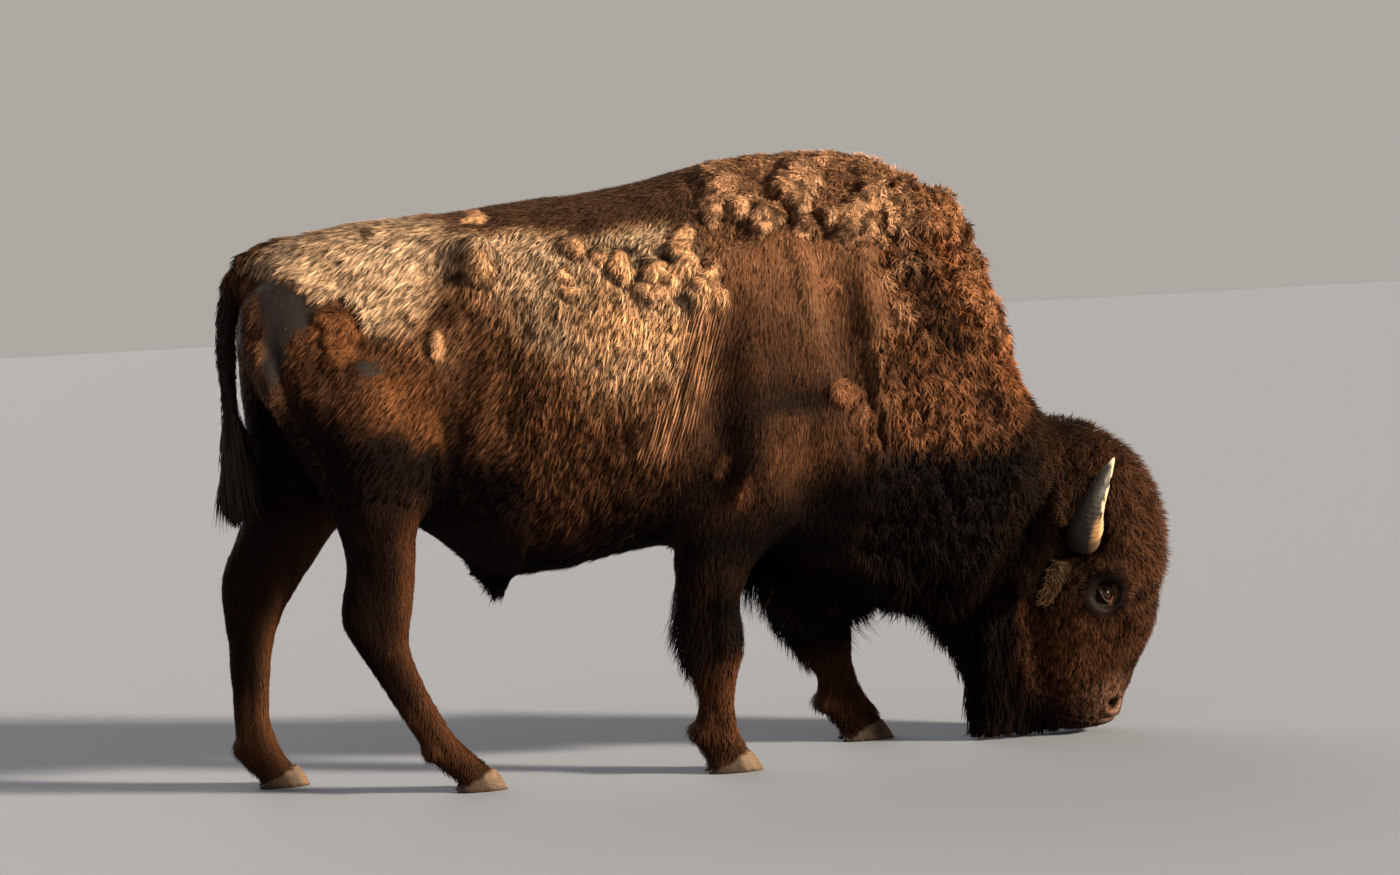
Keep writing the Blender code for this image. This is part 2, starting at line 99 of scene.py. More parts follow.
def solid(name, mesh, rounded=False):
    """An object made of a bmesh, shaded smooth if it is rounded."""
    data = bpy.data.meshes.new(name)
    mesh.to_mesh(data)
    mesh.free()
    if rounded:
        shade_smooth(data)
    return link(name, data)


def shade_smooth(mesh):
    mesh.polygons.foreach_set("use_smooth", [True] * len(mesh.polygons))


def put(mesh, name, kind, values):
    """Writes a value on every point of a mesh. Colours come without their alpha."""
    if kind == "FLOAT_COLOR":
        values = np.concatenate([np.clip(values, 0, 1), np.ones((len(values), 1))], axis=1)
    field = {"FLOAT": "value", "FLOAT_VECTOR": "vector", "FLOAT_COLOR": "color"}[kind]
    mesh.attributes.new(name, kind, "POINT").data.foreach_set(field, values.astype(np.float32).ravel())


def baked(source):
    """Replaces an object's mesh by what its modifiers make of it."""
    graph = bpy.context.evaluated_depsgraph_get()
    mesh = bpy.data.meshes.new_from_object(source.evaluated_get(graph))
    source.modifiers.clear()
    source.data = mesh
    return source


def read(items, name, kind=float, width=3):
    """A value of every vertex or edge of a mesh, a row for each."""
    values = np.empty(len(items) * width, kind)
    items.foreach_get(name, values)
    return values.reshape(-1, width)


def places_of(mesh):
    return read(mesh.vertices, "co")


def normals_of(mesh):
    return read(mesh.vertices, "normal")


def put_places(mesh, places):
    mesh.vertices.foreach_set("co", places.ravel())
    mesh.update()


def edges_of(mesh):
    return read(mesh.edges, "vertices", int, 2)


def relaxed(values, edges, passes, share=0.5):
    """Values on vertices, each moved towards its neighbours' mean by a share, which can differ by vertex."""
    values = values.copy()
    count = np.bincount(edges.ravel(), minlength=len(values)).clip(1)
    column = (-1, *[1] * (values.ndim - 1))
    share, count = np.broadcast_to(share, len(values)).reshape(column), count.reshape(column)
    for _ in range(passes):
        total = np.zeros_like(values)
        np.add.at(total, edges[:, 0], values[edges[:, 1]])
        np.add.at(total, edges[:, 1], values[edges[:, 0]])
        values += (total / count - values) * share
    return values


def unit(vectors):
    return vectors / np.linalg.norm(vectors, axis=-1, keepdims=True).clip(1e-9)


def ease(value, low, high):
    """0 below low and 1 above high, with a smooth rise between. High may be the lower one."""
    t = np.clip((value - low) / (high - low), 0, 1)
    return t * t * (3 - 2 * t)


def bell(distance, width):
    """1 where the distance is 0, and next to nothing beyond twice the width."""
    return np.exp(-((distance / width) ** 2))


def ripples(value, spacing, shift):
    """Waves from -1 to 1, a spacing apart."""
    return np.sin(value * 2 * math.pi / spacing + shift)


def hashed(cells, seed):
    """A fixed random number from -1 to 1 for each whole-numbered cell."""
    mixed = cells[:, 0] * 73856093 ^ cells[:, 1] * 19349663 ^ cells[:, 2] * 83492791 ^ seed * 97531
    mixed = ((mixed ^ (mixed >> 13)) * 1274126177) & 0xFFFFFFFF
    mixed = ((mixed ^ (mixed >> 15)) * 2246822519) & 0xFFFFFFFF
    return ((mixed >> 8) & 0xFFFF) / 32767.5 - 1


def cloudy(points, size, seed):
    """Smooth noise from -1 to 1, with lumps about as wide as size. Size may be three sizes."""
    scaled = points / np.asarray(size)
    cell = np.floor(scaled).astype(np.int64)
    part = scaled - cell
    part = part * part * (3 - 2 * part)
    total = np.zeros(len(points))
    for corner in np.ndindex(2, 2, 2):
        weight = np.prod(np.where(corner, part, 1 - part), axis=1)
        total += weight * hashed(cell + np.array(corner), seed)
    return total


def billows(points, size, seed, jitter=0.9):
    """Rounded lumps packed together: 1 at the middle of each, 0 at the gaps between them."""
    scaled = points / np.asarray(size)
    cell = np.floor(scaled).astype(np.int64)
    nearest = np.full(len(points), 9.0)
    second = np.full(len(points), 9.0)
    for step in np.ndindex(3, 3, 3):
        near_cell = cell + np.array(step) - 1
        middle = near_cell + 0.5 + 0.5 * jitter * np.stack(
            [hashed(near_cell, seed + axis) for axis in range(3)], axis=1
        )
        distance = np.linalg.norm(scaled - middle, axis=1)
        second = np.minimum(second, np.maximum(distance, nearest))
        nearest = np.minimum(nearest, distance)
    return np.clip((second - nearest) * 1.3, 0, 1)


def patch(x, z, middle, radii, turn=0.0, soft=0.25):
    """1 inside an oval on the animal's side and 0 outside, with a soft edge. Turn is in degrees."""
    angle = math.radians(turn)
    along = (x - middle[0]) * math.cos(angle) + (z - middle[1]) * math.sin(angle)
    across = (z - middle[1]) * math.cos(angle) - (x - middle[0]) * math.sin(angle)
    distance = np.hypot(along / radii[0], across / radii[1])
    return ease(distance, 1 + soft, 1 - soft)


def height_on(x, line):
    """The height of a line on the animal's side, given as pairs of x and z."""
    return np.interp(x, [point[0] for point in line], [point[1] for point in line])


def reach_on(z, line):
    """How far forward a line on the animal's side lies at a height, given as pairs of x and z."""
    return np.interp(z, [point[1] for point in line], [point[0] for point in line])


def bulges(x, z, outer, rows):
    """How far bones, muscles and folds stand out, given as x, z, radii, turn and height of ovals."""
    return sum(
        height * patch(x, z, (middle_x, middle_z), radii, turn, 0.8) * outer
        for middle_x, middle_z, radii, turn, height in rows
    )


def folded(places):
    """Signs for each point that bring the right side over to the left and back."""
    side = np.where(places[:, 1] < 0, RIGHT, LEFT)
    return np.stack([np.ones(len(side)), side, np.ones(len(side))], axis=1)


def mixed(base, colour, share):
    return base + (np.array(colour) - base) * np.clip(share, 0, 1)[:, None]


def toned(colour, by):
    return tuple(by * part for part in colour)


# ---- where each part of the coat lies

NECK_PLANE = ((0.694, 0.330), (1.006, 1.080))  # parts the head from the neck, seen from the side
MANE_REAR = (
    (0.30, 0.30), (0.430, 0.62), (0.500, 0.80), (0.455, 1.17), (0.475, 1.35), (0.50, 1.45), (0.54, 1.80),
)
SPINE_EDGE = ((-1.10, 1.600), (-0.76, 1.587), (-0.45, 1.565), (-0.14, 1.525), (0.07, 1.462), (0.2, 1.40))
HUMP_EDGE = (
    (-0.10, 1.54), (0.00, 1.50), (0.07, 1.47), (0.16, 1.50), (0.24, 1.53), (0.30, 1.47),
    (0.36, 1.50), (0.41, 1.44), (0.48, 1.47), (0.56, 1.42), (0.66, 1.38),
)
WOOL_FRINGE = (
    (-1.26, 1.50), (-1.205, 1.455), (-1.150, 1.447), (-1.125, 1.425), (-1.077, 1.392),
    (-1.015, 1.405), (-0.975, 1.362), (-0.960, 1.300), (-0.900, 1.270), (-0.830, 1.290),
    (-0.745, 1.400), (-0.690, 1.440), (-0.640, 1.370), (-0.580, 1.310), (-0.489, 1.250),
    (-0.380, 1.180), (-0.249, 1.120), (-0.100, 1.080), (0.060, 1.120),
)
COMBED_LINE = ((-0.16, 0.90), (-0.121, 1.016), (-0.035, 1.129), (0.005, 1.316), (0.015, 1.42))
MANE_BLACK = ((0.50, 0.860), (0.72, 0.870), (0.89, 0.880), (1.00, 0.950))  # the mane is black below this
BEARD_FRONT = ((0.05, 1.010), (0.12, 0.985), (0.20, 0.925), (0.29, 0.880), (0.50, 0.870))  # z, x
EYE = (1.132, 0.146, 0.420)
SHEATH = (-0.600, 0.56)
LEFT_FORWARD = 0.05  # how much further forward the moult's patches lie on the left side


class Places:
    """The skin's points with what the recipes ask about them."""

    def __init__(self, points, normals, ears=None):
        self.points = points
        self.normals = normals
        self.x, self.y, self.z = points.T
        self.ahead, _, self.up = normals.T
        self.ears = np.zeros(len(points)) if ears is None else ears
        self.side = np.where(self.y < 0, RIGHT, LEFT)
        forward = LEFT_FORWARD * (self.side == LEFT) * ease(self.x, 0.5, 0.2)
        # Edges of the markings waver: mx and mz a little, as seen from the side, and sx and sz more softly.
        self.mx = self.x - forward + (self.cloud(0.045, 3) * 0.012 + self.cloud(0.018, 4) * 0.006)
        self.mz = self.z + self.cloud(0.05, 5) * 0.012 + self.cloud(0.02, 6) * 0.005
        self.sx = self.mx + self.cloud(0.16, 7) * 0.045 + self.cloud(0.05, 8) * 0.022
        self.sz = self.mz + self.cloud(0.16, 9) * 0.045 + self.cloud(0.05, 10) * 0.022
        self.outer = ease(self.side * normals[:, 1], -0.25, 0.35)  # faces away from the middle
        self.flanked = ease(self.side * normals[:, 1], 0.05, 0.45)  # the same, without the crest of the back

    def cloud(self, size, seed):
        return cloudy(self.points, size, seed)

    def oval(self, middle, radii, turn=0.0, soft=0.25):
        return patch(self.mx, self.mz, middle, radii, turn, soft)

    def near_eye(self, reach):
        across = np.hypot(self.x - EYE[0], self.z - EYE[2])
        return ease(across, reach * 1.12, reach * 0.92) * self.outer


def ahead_of_neck(x, z):
    """How far each point lies ahead of the plane that parts the head from the neck."""
    (x0, z0), (x1, z1) = NECK_PLANE
    return ((x - x0) * (z1 - z0) - (z - z0) * (x1 - x0)) / math.hypot(x1 - x0, z1 - z0)


def zones_of(at):
    """How much each point belongs to each zone of the coat, as a dictionary of shares that add up to 1."""
    head = ease(ahead_of_neck(at.x, at.z) + 0.02 * at.cloud(0.05, 15), -0.03, 0.03) * ease(at.z, 1.12, 1.09)
    front = ease(at.sx - reach_on(at.z, MANE_REAR), -0.05, 0.05)
    fore = (at.x > -0.35) & (at.x < 0.62)
    hind = at.x < -0.55
    beard = ease(at.z, 0.47, 0.38) * ease(at.sx - height_on(at.z, BEARD_FRONT), 0.030, -0.020)
    crown = ease(at.sz - 0.55 * (at.x - 1.15), 0.50, 0.66)
    crown = np.maximum(crown, ease(at.sx + 0.10 * at.z, 1.235, 1.30) * ease(at.z, 0.30, 0.42))
    tail = ease(at.x + 0.9 * np.abs(at.y), -1.272, -1.282) * ease(at.z, 0.72, 0.74)
    dock = ease(np.abs(at.y), 0.045, 0.03) * ease(at.x, -1.10, -1.18) * ease(at.z, 1.47, 1.50)
    fore_leg = fore * ease(at.sz, 0.62, 0.50) * (1 - ease(at.x, 0.50, 0.56) * ease(at.z, 0.33, 0.36))
    hind_leg = hind * ease(at.sz, 0.86, 0.70) * ease(np.abs(at.y), 0.05, 0.075)
    hump = ease(at.mz - height_on(at.mx, HUMP_EDGE), -0.012, 0.012) * ease(at.mx, -0.03, 0.03)
    rump = ease(at.sx + 0.22 * (at.z - 1.2), -0.60, -0.68)
    shoulder = ease(at.mx - reach_on(at.z, COMBED_LINE), 0.0, 0.05)
    shares, left_over = {"ears": at.ears}, 1 - at.ears
    for name, share in (
        ("tail", np.maximum(tail, dock)), ("beard", head * beard), ("crown", head * crown), ("face", head),
        ("forelegs", fore_leg), ("hindlegs", hind_leg), ("mane", front), ("hump", hump),
        ("rump", rump), ("shoulders", shoulder), ("flanks", np.ones(len(at.x))),
    ):
        shares[name] = left_over * share
        left_over = left_over * (1 - share)
    return shares


def bare_patches(at):
    """1 where the winter wool is shed down to the grey skin."""
    under_fringe = ease(height_on(at.mx, WOOL_FRINGE) - at.mz, 0.0, 0.014)
    big = at.oval((-1.170, 1.390), (0.090, 0.085)) * under_fringe * ease(at.mx, -1.262, -1.242)
    tongue = at.oval((-1.212, 1.270), (0.036, 0.120), -10)
    small = at.oval((-0.958, 1.200), (0.038, 0.022), -10)
    rear = ease(at.x, -1.285, -1.302) * ease(at.z, 1.02, 1.12) * ease(at.z, 1.47, 1.44)
    return np.clip(big + tongue + small * 0.9 + rear * 0.8, 0, 1) * (1 - at.ears)


PITS = (  # the small holes torn in the winter wool, dark with the new coat and with painted shade: middle, radii and turn
    ((-0.932, 1.571), (0.030, 0.014), 0), ((-0.888, 1.535), (0.024, 0.010), 20),
    ((-0.791, 1.537), (0.020, 0.010), 0), ((-0.216, 1.478), (0.022, 0.013), 0),
    ((-0.124, 1.461), (0.022, 0.014), 0), ((-0.160, 1.110), (0.012, 0.036), 0),
    ((-0.700, 1.440), (0.036, 0.014), 10),
)


def pits(at):
    holes = sum(at.oval(middle, radii, turn, 0.5) for middle, radii, turn in PITS)
    return np.clip(holes, 0, 1) * at.outer * (1 - at.ears)


def pale_wool(at):
    """1 on the matted winter wool of the rump and upper flank."""
    over_fringe = at.mz - height_on(at.mx, WOOL_FRINGE)
    sharp = ease(at.mx, -0.90, -0.96)
    soft_edge = ease(over_fringe + 1.2 * (at.sz - at.mz), -0.05, 0.16)
    below_spine = ease(height_on(at.sx, SPINE_EDGE) - at.sz, -0.02, 0.03)
    on_top = np.where(at.mx < -0.80, 1.0, below_spine)
    wool = ease(over_fringe, -0.006, 0.006) * sharp + soft_edge * (1 - sharp)
    line = reach_on(at.z, COMBED_LINE)
    return wool * on_top * ease(at.mx + 0.4 * (at.sx - at.mx) - line, 0.0, -0.05) * (1 - at.ears)


# Loose balls of shed wool: x, z, radius, height. Those on the flank are pale, those further forward tan.
PALE_LUMPS = (
    (-0.372, 1.499, 0.040, 0.016), (-0.305, 1.480, 0.028, 0.012), (-0.249, 1.443, 0.044, 0.022),
    (-0.408, 1.426, 0.026, 0.012), (-0.400, 1.375, 0.028, 0.014), (-0.161, 1.425, 0.036, 0.026),
    (-0.632, 1.606, 0.028, 0.007),
    (-0.072, 1.446, 0.052, 0.036), (-0.113, 1.402, 0.034, 0.028), (-0.030, 1.369, 0.048, 0.038),
    (-0.150, 1.363, 0.034, 0.022), (0.018, 1.350, 0.030, 0.028), (-0.066, 1.508, 0.024, 0.016),
    (-0.195, 1.395, 0.028, 0.016), (0.000, 1.410, 0.030, 0.026), (-0.640, 1.478, 0.046, 0.034),
    (-0.668, 1.452, 0.024, 0.012), (-0.772, 1.262, 0.026, 0.012),
)
TAN_LUMPS = (
    (0.070, 1.640, 0.060, 0.034), (0.110, 1.590, 0.050, 0.040), (0.184, 1.555, 0.044, 0.036),
    (0.030, 1.590, 0.044, 0.024), (0.308, 1.676, 0.050, 0.018), (0.295, 1.583, 0.036, 0.034),
    (0.292, 1.515, 0.030, 0.036), (0.250, 1.630, 0.040, 0.016), (0.385, 1.545, 0.040, 0.030),
    (0.405, 1.500, 0.036, 0.034), (0.471, 1.515, 0.038, 0.036), (0.515, 1.613, 0.054, 0.026),
    (0.440, 1.560, 0.036, 0.020), (0.600, 1.580, 0.050, 0.032), (0.635, 1.535, 0.046, 0.040),
    (0.560, 1.540, 0.034, 0.020), (0.743, 1.577, 0.050, 0.028), (0.735, 1.500, 0.048, 0.040),
    (0.690, 1.525, 0.036, 0.026), (0.339, 1.366, 0.024, 0.014), (0.758, 1.331, 0.038, 0.022),
    (0.805, 1.256, 0.044, 0.024), (0.790, 1.400, 0.036, 0.016), (0.845, 1.174, 0.042, 0.022),
    (0.366, 1.050, 0.044, 0.026), (0.396, 0.985, 0.036, 0.022), (0.420, 0.920, 0.030, 0.012),
    (0.052, 0.803, 0.034, 0.006), (-0.015, 0.860, 0.026, 0.005), (-1.035, 1.290, 0.070, 0.022),
)


def lump_field(at, lumps):
    """Each point's share of a loose ball of wool, the height that the ball adds, and the gap round it, which
    markings darkens: partly dark new coat, partly painted shade.
    """
    share, height, gap = np.zeros((3, len(at.x)))
    wobble = 1 + 0.25 * at.cloud(0.028, 13)
    shift_x = at.mx + 0.016 * at.cloud(0.045, 14)
    shift_z = at.mz + 0.018 * at.cloud(0.050, 16)
    for x, z, radius, rise in lumps:
        hang = np.where(shift_z < z, 1.15, 1.0) * (1 + 0.25 * math.sin(97 * x + 31 * z))
        distance = np.hypot(shift_x - x, (shift_z - z) / hang) / (radius * wobble)
        share = np.maximum(share, ease(distance, 1.1, 0.85))
        gap = np.maximum(gap * ease(distance, 0.7, 0.9), bell(distance - 1.0, 0.16))
        height = np.maximum(height, np.clip(1 - distance**2, 0, 1) ** 0.5 * rise)
    return share * at.outer, height * at.flanked, gap * at.flanked


def combed(at):
    """1 on the band of long, straight-combed hair where the flank meets the shoulder."""
    line = reach_on(at.z, COMBED_LINE)
    across = ease(np.abs(at.mx + 0.020 - line), 0.075, 0.050)
    return across * ease(at.z, 0.88, 0.98) * ease(at.z, 1.37, 1.31) * at.outer


def old_wool(at, shares):
    """1 where last winter's wool still clings to the hump and the mane's front, 0 where it has dropped."""
    share, _, _ = lump_field(at, TAN_LUMPS)
    rounds = billows(at.points, (0.075, 0.075, 0.095), 21)
    scattered = ease(rounds + 0.25 * at.cloud(0.15, 22), 0.36, 0.56)
    upper = ease(at.z, 1.48, 1.60)
    shed = patch(at.sx, at.sz, (0.645, 1.285), (0.075, 0.15), 6, 0.5)
    scattered = scattered * (0.45 + 0.55 * upper) * (1 - 0.85 * shed)
    return np.maximum(share, scattered) * (shares["hump"] + shares["mane"])


def chaps(at):
    """1 on the long hair at the back and front of the upper forelegs."""
    right = patch(at.x, at.z, (-0.115, 0.43), (0.09, 0.19), 0, 0.4)
    right = np.maximum(right, 0.6 * patch(at.x, at.z, (0.11, 0.46), (0.06, 0.14), 0, 0.4))
    left = patch(at.x, at.z, (0.25, 0.38), (0.13, 0.17), -40, 0.4)
    return np.where(at.side == RIGHT, right, left)


# ---- the skin

COAT_DEPTH = {  # how far the skin lies inside the coat's tips
    "ears": 0.0, "tail": 0.004, "beard": 0.026, "crown": 0.039, "face": 0.011, "forelegs": 0.004,
    "hindlegs": 0.004, "mane": 0.030, "hump": 0.024, "rump": 0.019, "shoulders": 0.010, "flanks": 0.013,
}


def coat_depth(at, shares):
    depth = sum(shares[name] * value for name, value in COAT_DEPTH.items())
    depth += shares["forelegs"] * chaps(at) * 0.022
    depth *= 1 - 0.75 * shares["face"] * ease(at.z, 0.24, 0.12)
    depth *= 1 - 0.6 * patch(at.x, at.z, EYE[::2], (0.07, 0.07)) * shares["face"]
    nose_bridge = ease(at.x + 0.5 * (0.29 - at.z), 1.23, 1.30) * ease(at.z, 0.13, 0.20)
    depth += 0.010 * shares["face"] * nose_bridge
    depth *= 1 - 0.8 * patch(at.x, at.z, SHEATH, (0.10, 0.11)) * ease(np.abs(at.y), 0.12, 0.08)
    depth *= 1 - 0.8 * (shares["rump"] + shares["hindlegs"]) * ease(at.x, -1.20, -1.26)  # shed behind
    return depth + 0.012 * ease(over_hoof(at), 0.004, -0.016)  # well inside the horn of the hooves


def over_hoof(at):
    """How far each point lies above the slanting line where the hair ends over its hoof."""
    line = np.full(len(at.x), -0.1)
    for foot in FEET:
        low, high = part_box("claw_" + foot + "_left")
        ahead = np.clip((at.x - low[0]) / (high[0] - low[0]), 0, 1)
        near = (np.abs(at.x - (low[0] + high[0]) / 2) < 0.13) & (np.abs(at.y - low[1]) < 0.10) & (at.z < 0.10)
        line = np.where(near, 0.003 + 0.078 * np.minimum(ahead, 0.68), line)
    return at.z - line + 0.006 * at.cloud(0.014, 75)


def flesh_shell(nodes, name):
    """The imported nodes' meshes in one, with their loose triangles joined up."""
    joined = bmesh.new()
    for node in nodes:
        joined.from_mesh(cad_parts[node].data)
    bmesh.ops.remove_doubles(joined, verts=joined.verts, dist=1e-5)
    return solid(name, joined)


def remesh(piece, voxel):
    weld = piece.modifiers.new("weld", "REMESH")
    weld.mode = "VOXEL"
    weld.voxel_size = voxel
    baked(piece)


def smooth(piece, passes):
    put_places(piece.data, relaxed(places_of(piece.data), edges_of(piece.data), passes))


def draw_in(shell):
    """Moves the shell inwards by the coat's depth, a little at a time, and welds it afresh."""
    edges = edges_of(shell.data)
    places = relaxed(places_of(shell.data), edges, 4)
    put_places(shell.data, places)
    at = Places(places, normals_of(shell.data))
    step = relaxed(coat_depth(at, zones_of(at)), edges, 6) / DRAW_IN_STEPS
    for _ in range(DRAW_IN_STEPS):
        places = places - normals_of(shell.data) * step[:, None]
        places = relaxed(places, edges, 2, 0.3)
        put_places(shell.data, places)
    remesh(shell, SKIN_VOXEL)
    smooth(shell, 3)


def settle(shell, outline):
    """Puts the skin at just the coat's depth inside the outline, as smoothing has thinned the limbs."""
    edges = edges_of(shell.data)
    for _ in range(3):
        places, normals = places_of(shell.data), normals_of(shell.data)
        at = Places(places, normals)
        wanted = coat_depth(at, zones_of(at))
        depth = np.empty(len(places))
        for i, place in enumerate(places):
            nearest, outward, _, distance = outline.find_nearest(place)
            depth[i] = -math.copysign(distance, (Vector(place) - nearest).dot(outward))
        put_places(shell.data, places + normals * relaxed(depth - wanted, edges, 2)[:, None] * 0.9)
    smooth(shell, 1)


def refine(shell, wanted):
    """Splits the faces whose middle is wanted into four."""
    mesh = bmesh.new()
    mesh.from_mesh(shell.data)
    middles = np.array([face.calc_center_median() for face in mesh.faces])
    chosen = wanted(middles)
    edges = {edge for face, pick in zip(mesh.faces, chosen, strict=True) if pick for edge in face.edges}
    bmesh.ops.subdivide_edges(mesh, edges=list(edges), cuts=1, use_grid_fill=True)
    bmesh.ops.triangulate(mesh, faces=[face for face in mesh.faces if len(face.verts) > 4])
    mesh.to_mesh(shell.data)
    mesh.free()
    places = places_of(shell.data)
    put_places(shell.data, relaxed(places, edges_of(shell.data), 3, 0.5 * wanted(places)))


def near_lumps(points):
    x, y, z = points.T
    found = np.zeros(len(points), bool)
    for lump_x, lump_z, radius, _ in PALE_LUMPS + TAN_LUMPS:
        forward = LEFT_FORWARD * (y > 0) * (lump_x < 0.35)
        found |= np.hypot(x - lump_x - forward, z - lump_z) < radius * 1.25 + 0.01
    return found & (np.abs(y) > 0.05)


def on_head(points):
    return (ahead_of_neck(points[:, 0], points[:, 2]) > 0) & (points[:, 0] > 1.0)


def on_muzzle(points):
    return on_head(points) & (points[:, 2] < 0.17)


def round_eyes(points, reach):
    return np.linalg.norm(points * folded(points) - np.array(EYE), axis=1) < reach


BODY_BULGES = (
    (0.262, 1.37, (0.026, 0.11), 12, 0.020),  # two folds of skin down the shoulder
    (0.452, 1.26, (0.034, 0.24), 6, 0.026),
    (0.180, 1.15, (0.15, 0.22), 14, 0.022),  # the shoulder blade and the muscle on it
    (0.085, 0.93, (0.12, 0.13), 30, 0.032),  # the muscles over the elbow
    (-0.085, 0.72, (0.045, 0.05), 0, 0.010),  # the elbow
    (-0.940, 1.00, (0.15, 0.20), -18, 0.034),  # the thigh
    (-0.800, 0.86, (0.06, 0.12), -20, 0.018),
    (-0.655, 1.51, (0.075, 0.055), 0, 0.028),  # the point of the hip
    (-1.190, 1.36, (0.035, 0.11), 0, 0.008),  # the pin bone
    (-0.93, 0.64, (0.05, 0.13), -12, 0.008),
    (-0.735, 1.02, (0.045, 0.17), -14, -0.026),  # the hollow ahead of the thigh
    (-0.600, 1.12, (0.060, 0.18), -12, -0.012),
    (0.010, 1.12, (0.050, 0.24), -8, -0.020),  # the hollow behind the shoulder
    (0.355, 1.20, (0.040, 0.22), 8, -0.020),
    (0.250, 0.80, (0.06, 0.12), 35, -0.022),
    (0.210, 1.06, (0.13, 0.045), 8, -0.014),
    (-1.175, 1.05, (0.022, 0.22), 24, 0.018),  # the edge of the buttock
    (-1.115, 1.02, (0.024, 0.20), 24, -0.016),
)


def relief(at, shares):
    """How far the skin and its matted underwool stand out from the drawn-in shell."""
    wool = pale_wool(at) * (1 - bare_patches(at))
    _, pale_lumps, _ = lump_field(at, PALE_LUMPS)
    _, tan_lumps, _ = lump_field(at, TAN_LUMPS)
    rise = 1.15 * pale_lumps + 0.75 * tan_lumps
    rise += 0.011 * wool * (shares["rump"] + shares["tail"])
    leaning = at.points + 0.5 * at.x[:, None] * np.array((0, 0, 1))
    rise += 0.0034 * wool * cloudy(leaning, (0.034, 0.05, 0.016), 11)
    rise += 0.0040 * wool * at.cloud(0.055, 17)
    flank = shares["flanks"] + 0.5 * shares["rump"]
    locks = np.abs(cloudy(at.points + 0.25 * at.z[:, None] * np.array((1, 0, 0)), (0.026, 0.03, 0.075), 12))
    rise += 0.0120 * flank * (locks - 0.4) * ease(at.z, 1.46, 1.40) * (1 - combed(at))
    clinging = old_wool(at, shares)
    rise += 0.018 * clinging * (shares["hump"] + 0.7 * shares["mane"]) * at.flanked
    rise += 0.010 * (1 - at.flanked) * shares["hump"]
    rise += 0.006 * (shares["hump"] + shares["mane"]) * at.cloud((0.024, 0.024, 0.034), 26)
    curls = billows(at.points, (0.050, 0.050, 0.075), 25) - 0.5
    rise += 0.024 * shares["mane"] * curls * (0.4 + 0.6 * at.flanked)
    rise += 0.006 * shares["crown"] * (billows(at.points, 0.06, 27) - 0.4)
    rise += 0.006 * shares["beard"] * at.cloud((0.05, 0.05, 0.20), 28)
    folds = ease(np.abs(at.mx - 0.465), 0.060, 0.02) * ease(at.z, 0.72, 0.85) * ease(at.z, 1.26, 1.12)
    rise += 0.014 * folds * ripples(at.mx, 0.036, 1.5 * at.cloud(0.2, 31)) * at.outer
    bent_x = at.x + 0.022 * at.cloud(0.13, 32) + 0.006 * at.cloud(0.05, 33)
    rise += bulges(bent_x, at.z, at.outer, BODY_BULGES)
    rise += 0.0030 * at.cloud(0.07, 41) * (1 - shares["face"])
    rise += limb_relief(at)
    return rise * (1 - at.ears)


def limb_relief(at):
    """Bone and tendon under the short hair of the lower legs."""
    rise = np.zeros(len(at.x))
    low = ease(at.z, 0.42, 0.34) * ease(at.z, 0.10, 0.14)
    for hoof_x, hoof_y, slope, bone in (
        (-0.028, -0.19, -0.07, 0.010), (0.395, 0.19, -0.30, 0.010),
        (-0.860, -0.17, -0.62, 0.012), (-1.318, 0.17, 0.02, 0.012),
    ):
        middle = hoof_x + slope * (at.z - 0.21)
        near = ease(np.abs(at.x - middle), 0.10, 0.07) * ease(np.abs(at.y - hoof_y), 0.12, 0.08)
        groove = bell(at.x - middle + bone, 0.008)
        rise -= 0.005 * groove * near * low
    for claw in DEWCLAWS:
        low_corner, high_corner = (np.array(corner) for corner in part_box(claw))
        middle = (low_corner + high_corner) / 2 + np.array((0, 0, 0.008))
        rise += 0.013 * ease(np.linalg.norm(at.points - middle, axis=1), 0.036, 0.012)
    return rise


FACE_BULGES = (
    (1.130, 0.492, (0.060, 0.026), -35, 0.012),  # the brow
    (1.085, 0.345, (0.080, 0.040), -50, 0.008),  # the cheek bone
    (1.160, 0.270, (0.050, 0.070), -60, -0.007),
    (1.060, 0.260, (0.060, 0.080), 0, 0.008),  # the jaw's muscle
    (1.160, 0.150, (0.045, 0.050), 0, 0.006),  # the flare over the nostril
    (1.085, 0.135, (0.050, 0.040), 20, 0.004),
)


def sculpt_head(at, shares):
    """Bone and gristle of the face: brow, cheek and nose, as steps out of the shell."""
    rise = bulges(at.x, at.z, at.outer, FACE_BULGES)
    rise += 0.004 * at.cloud(0.035, 51) * shares["face"] * ease(at.z, 0.14, 0.2)
    return rise * (shares["face"] + shares["crown"])


NOSTRIL = (1.160, 0.073, 0.094)
NOSTRIL_AXIS = (0.42, 0.90, -0.1)
MOUTH_LINE = ((1.00, 0.075), (1.06, 0.052), (1.12, 0.044), (1.20, 0.040))


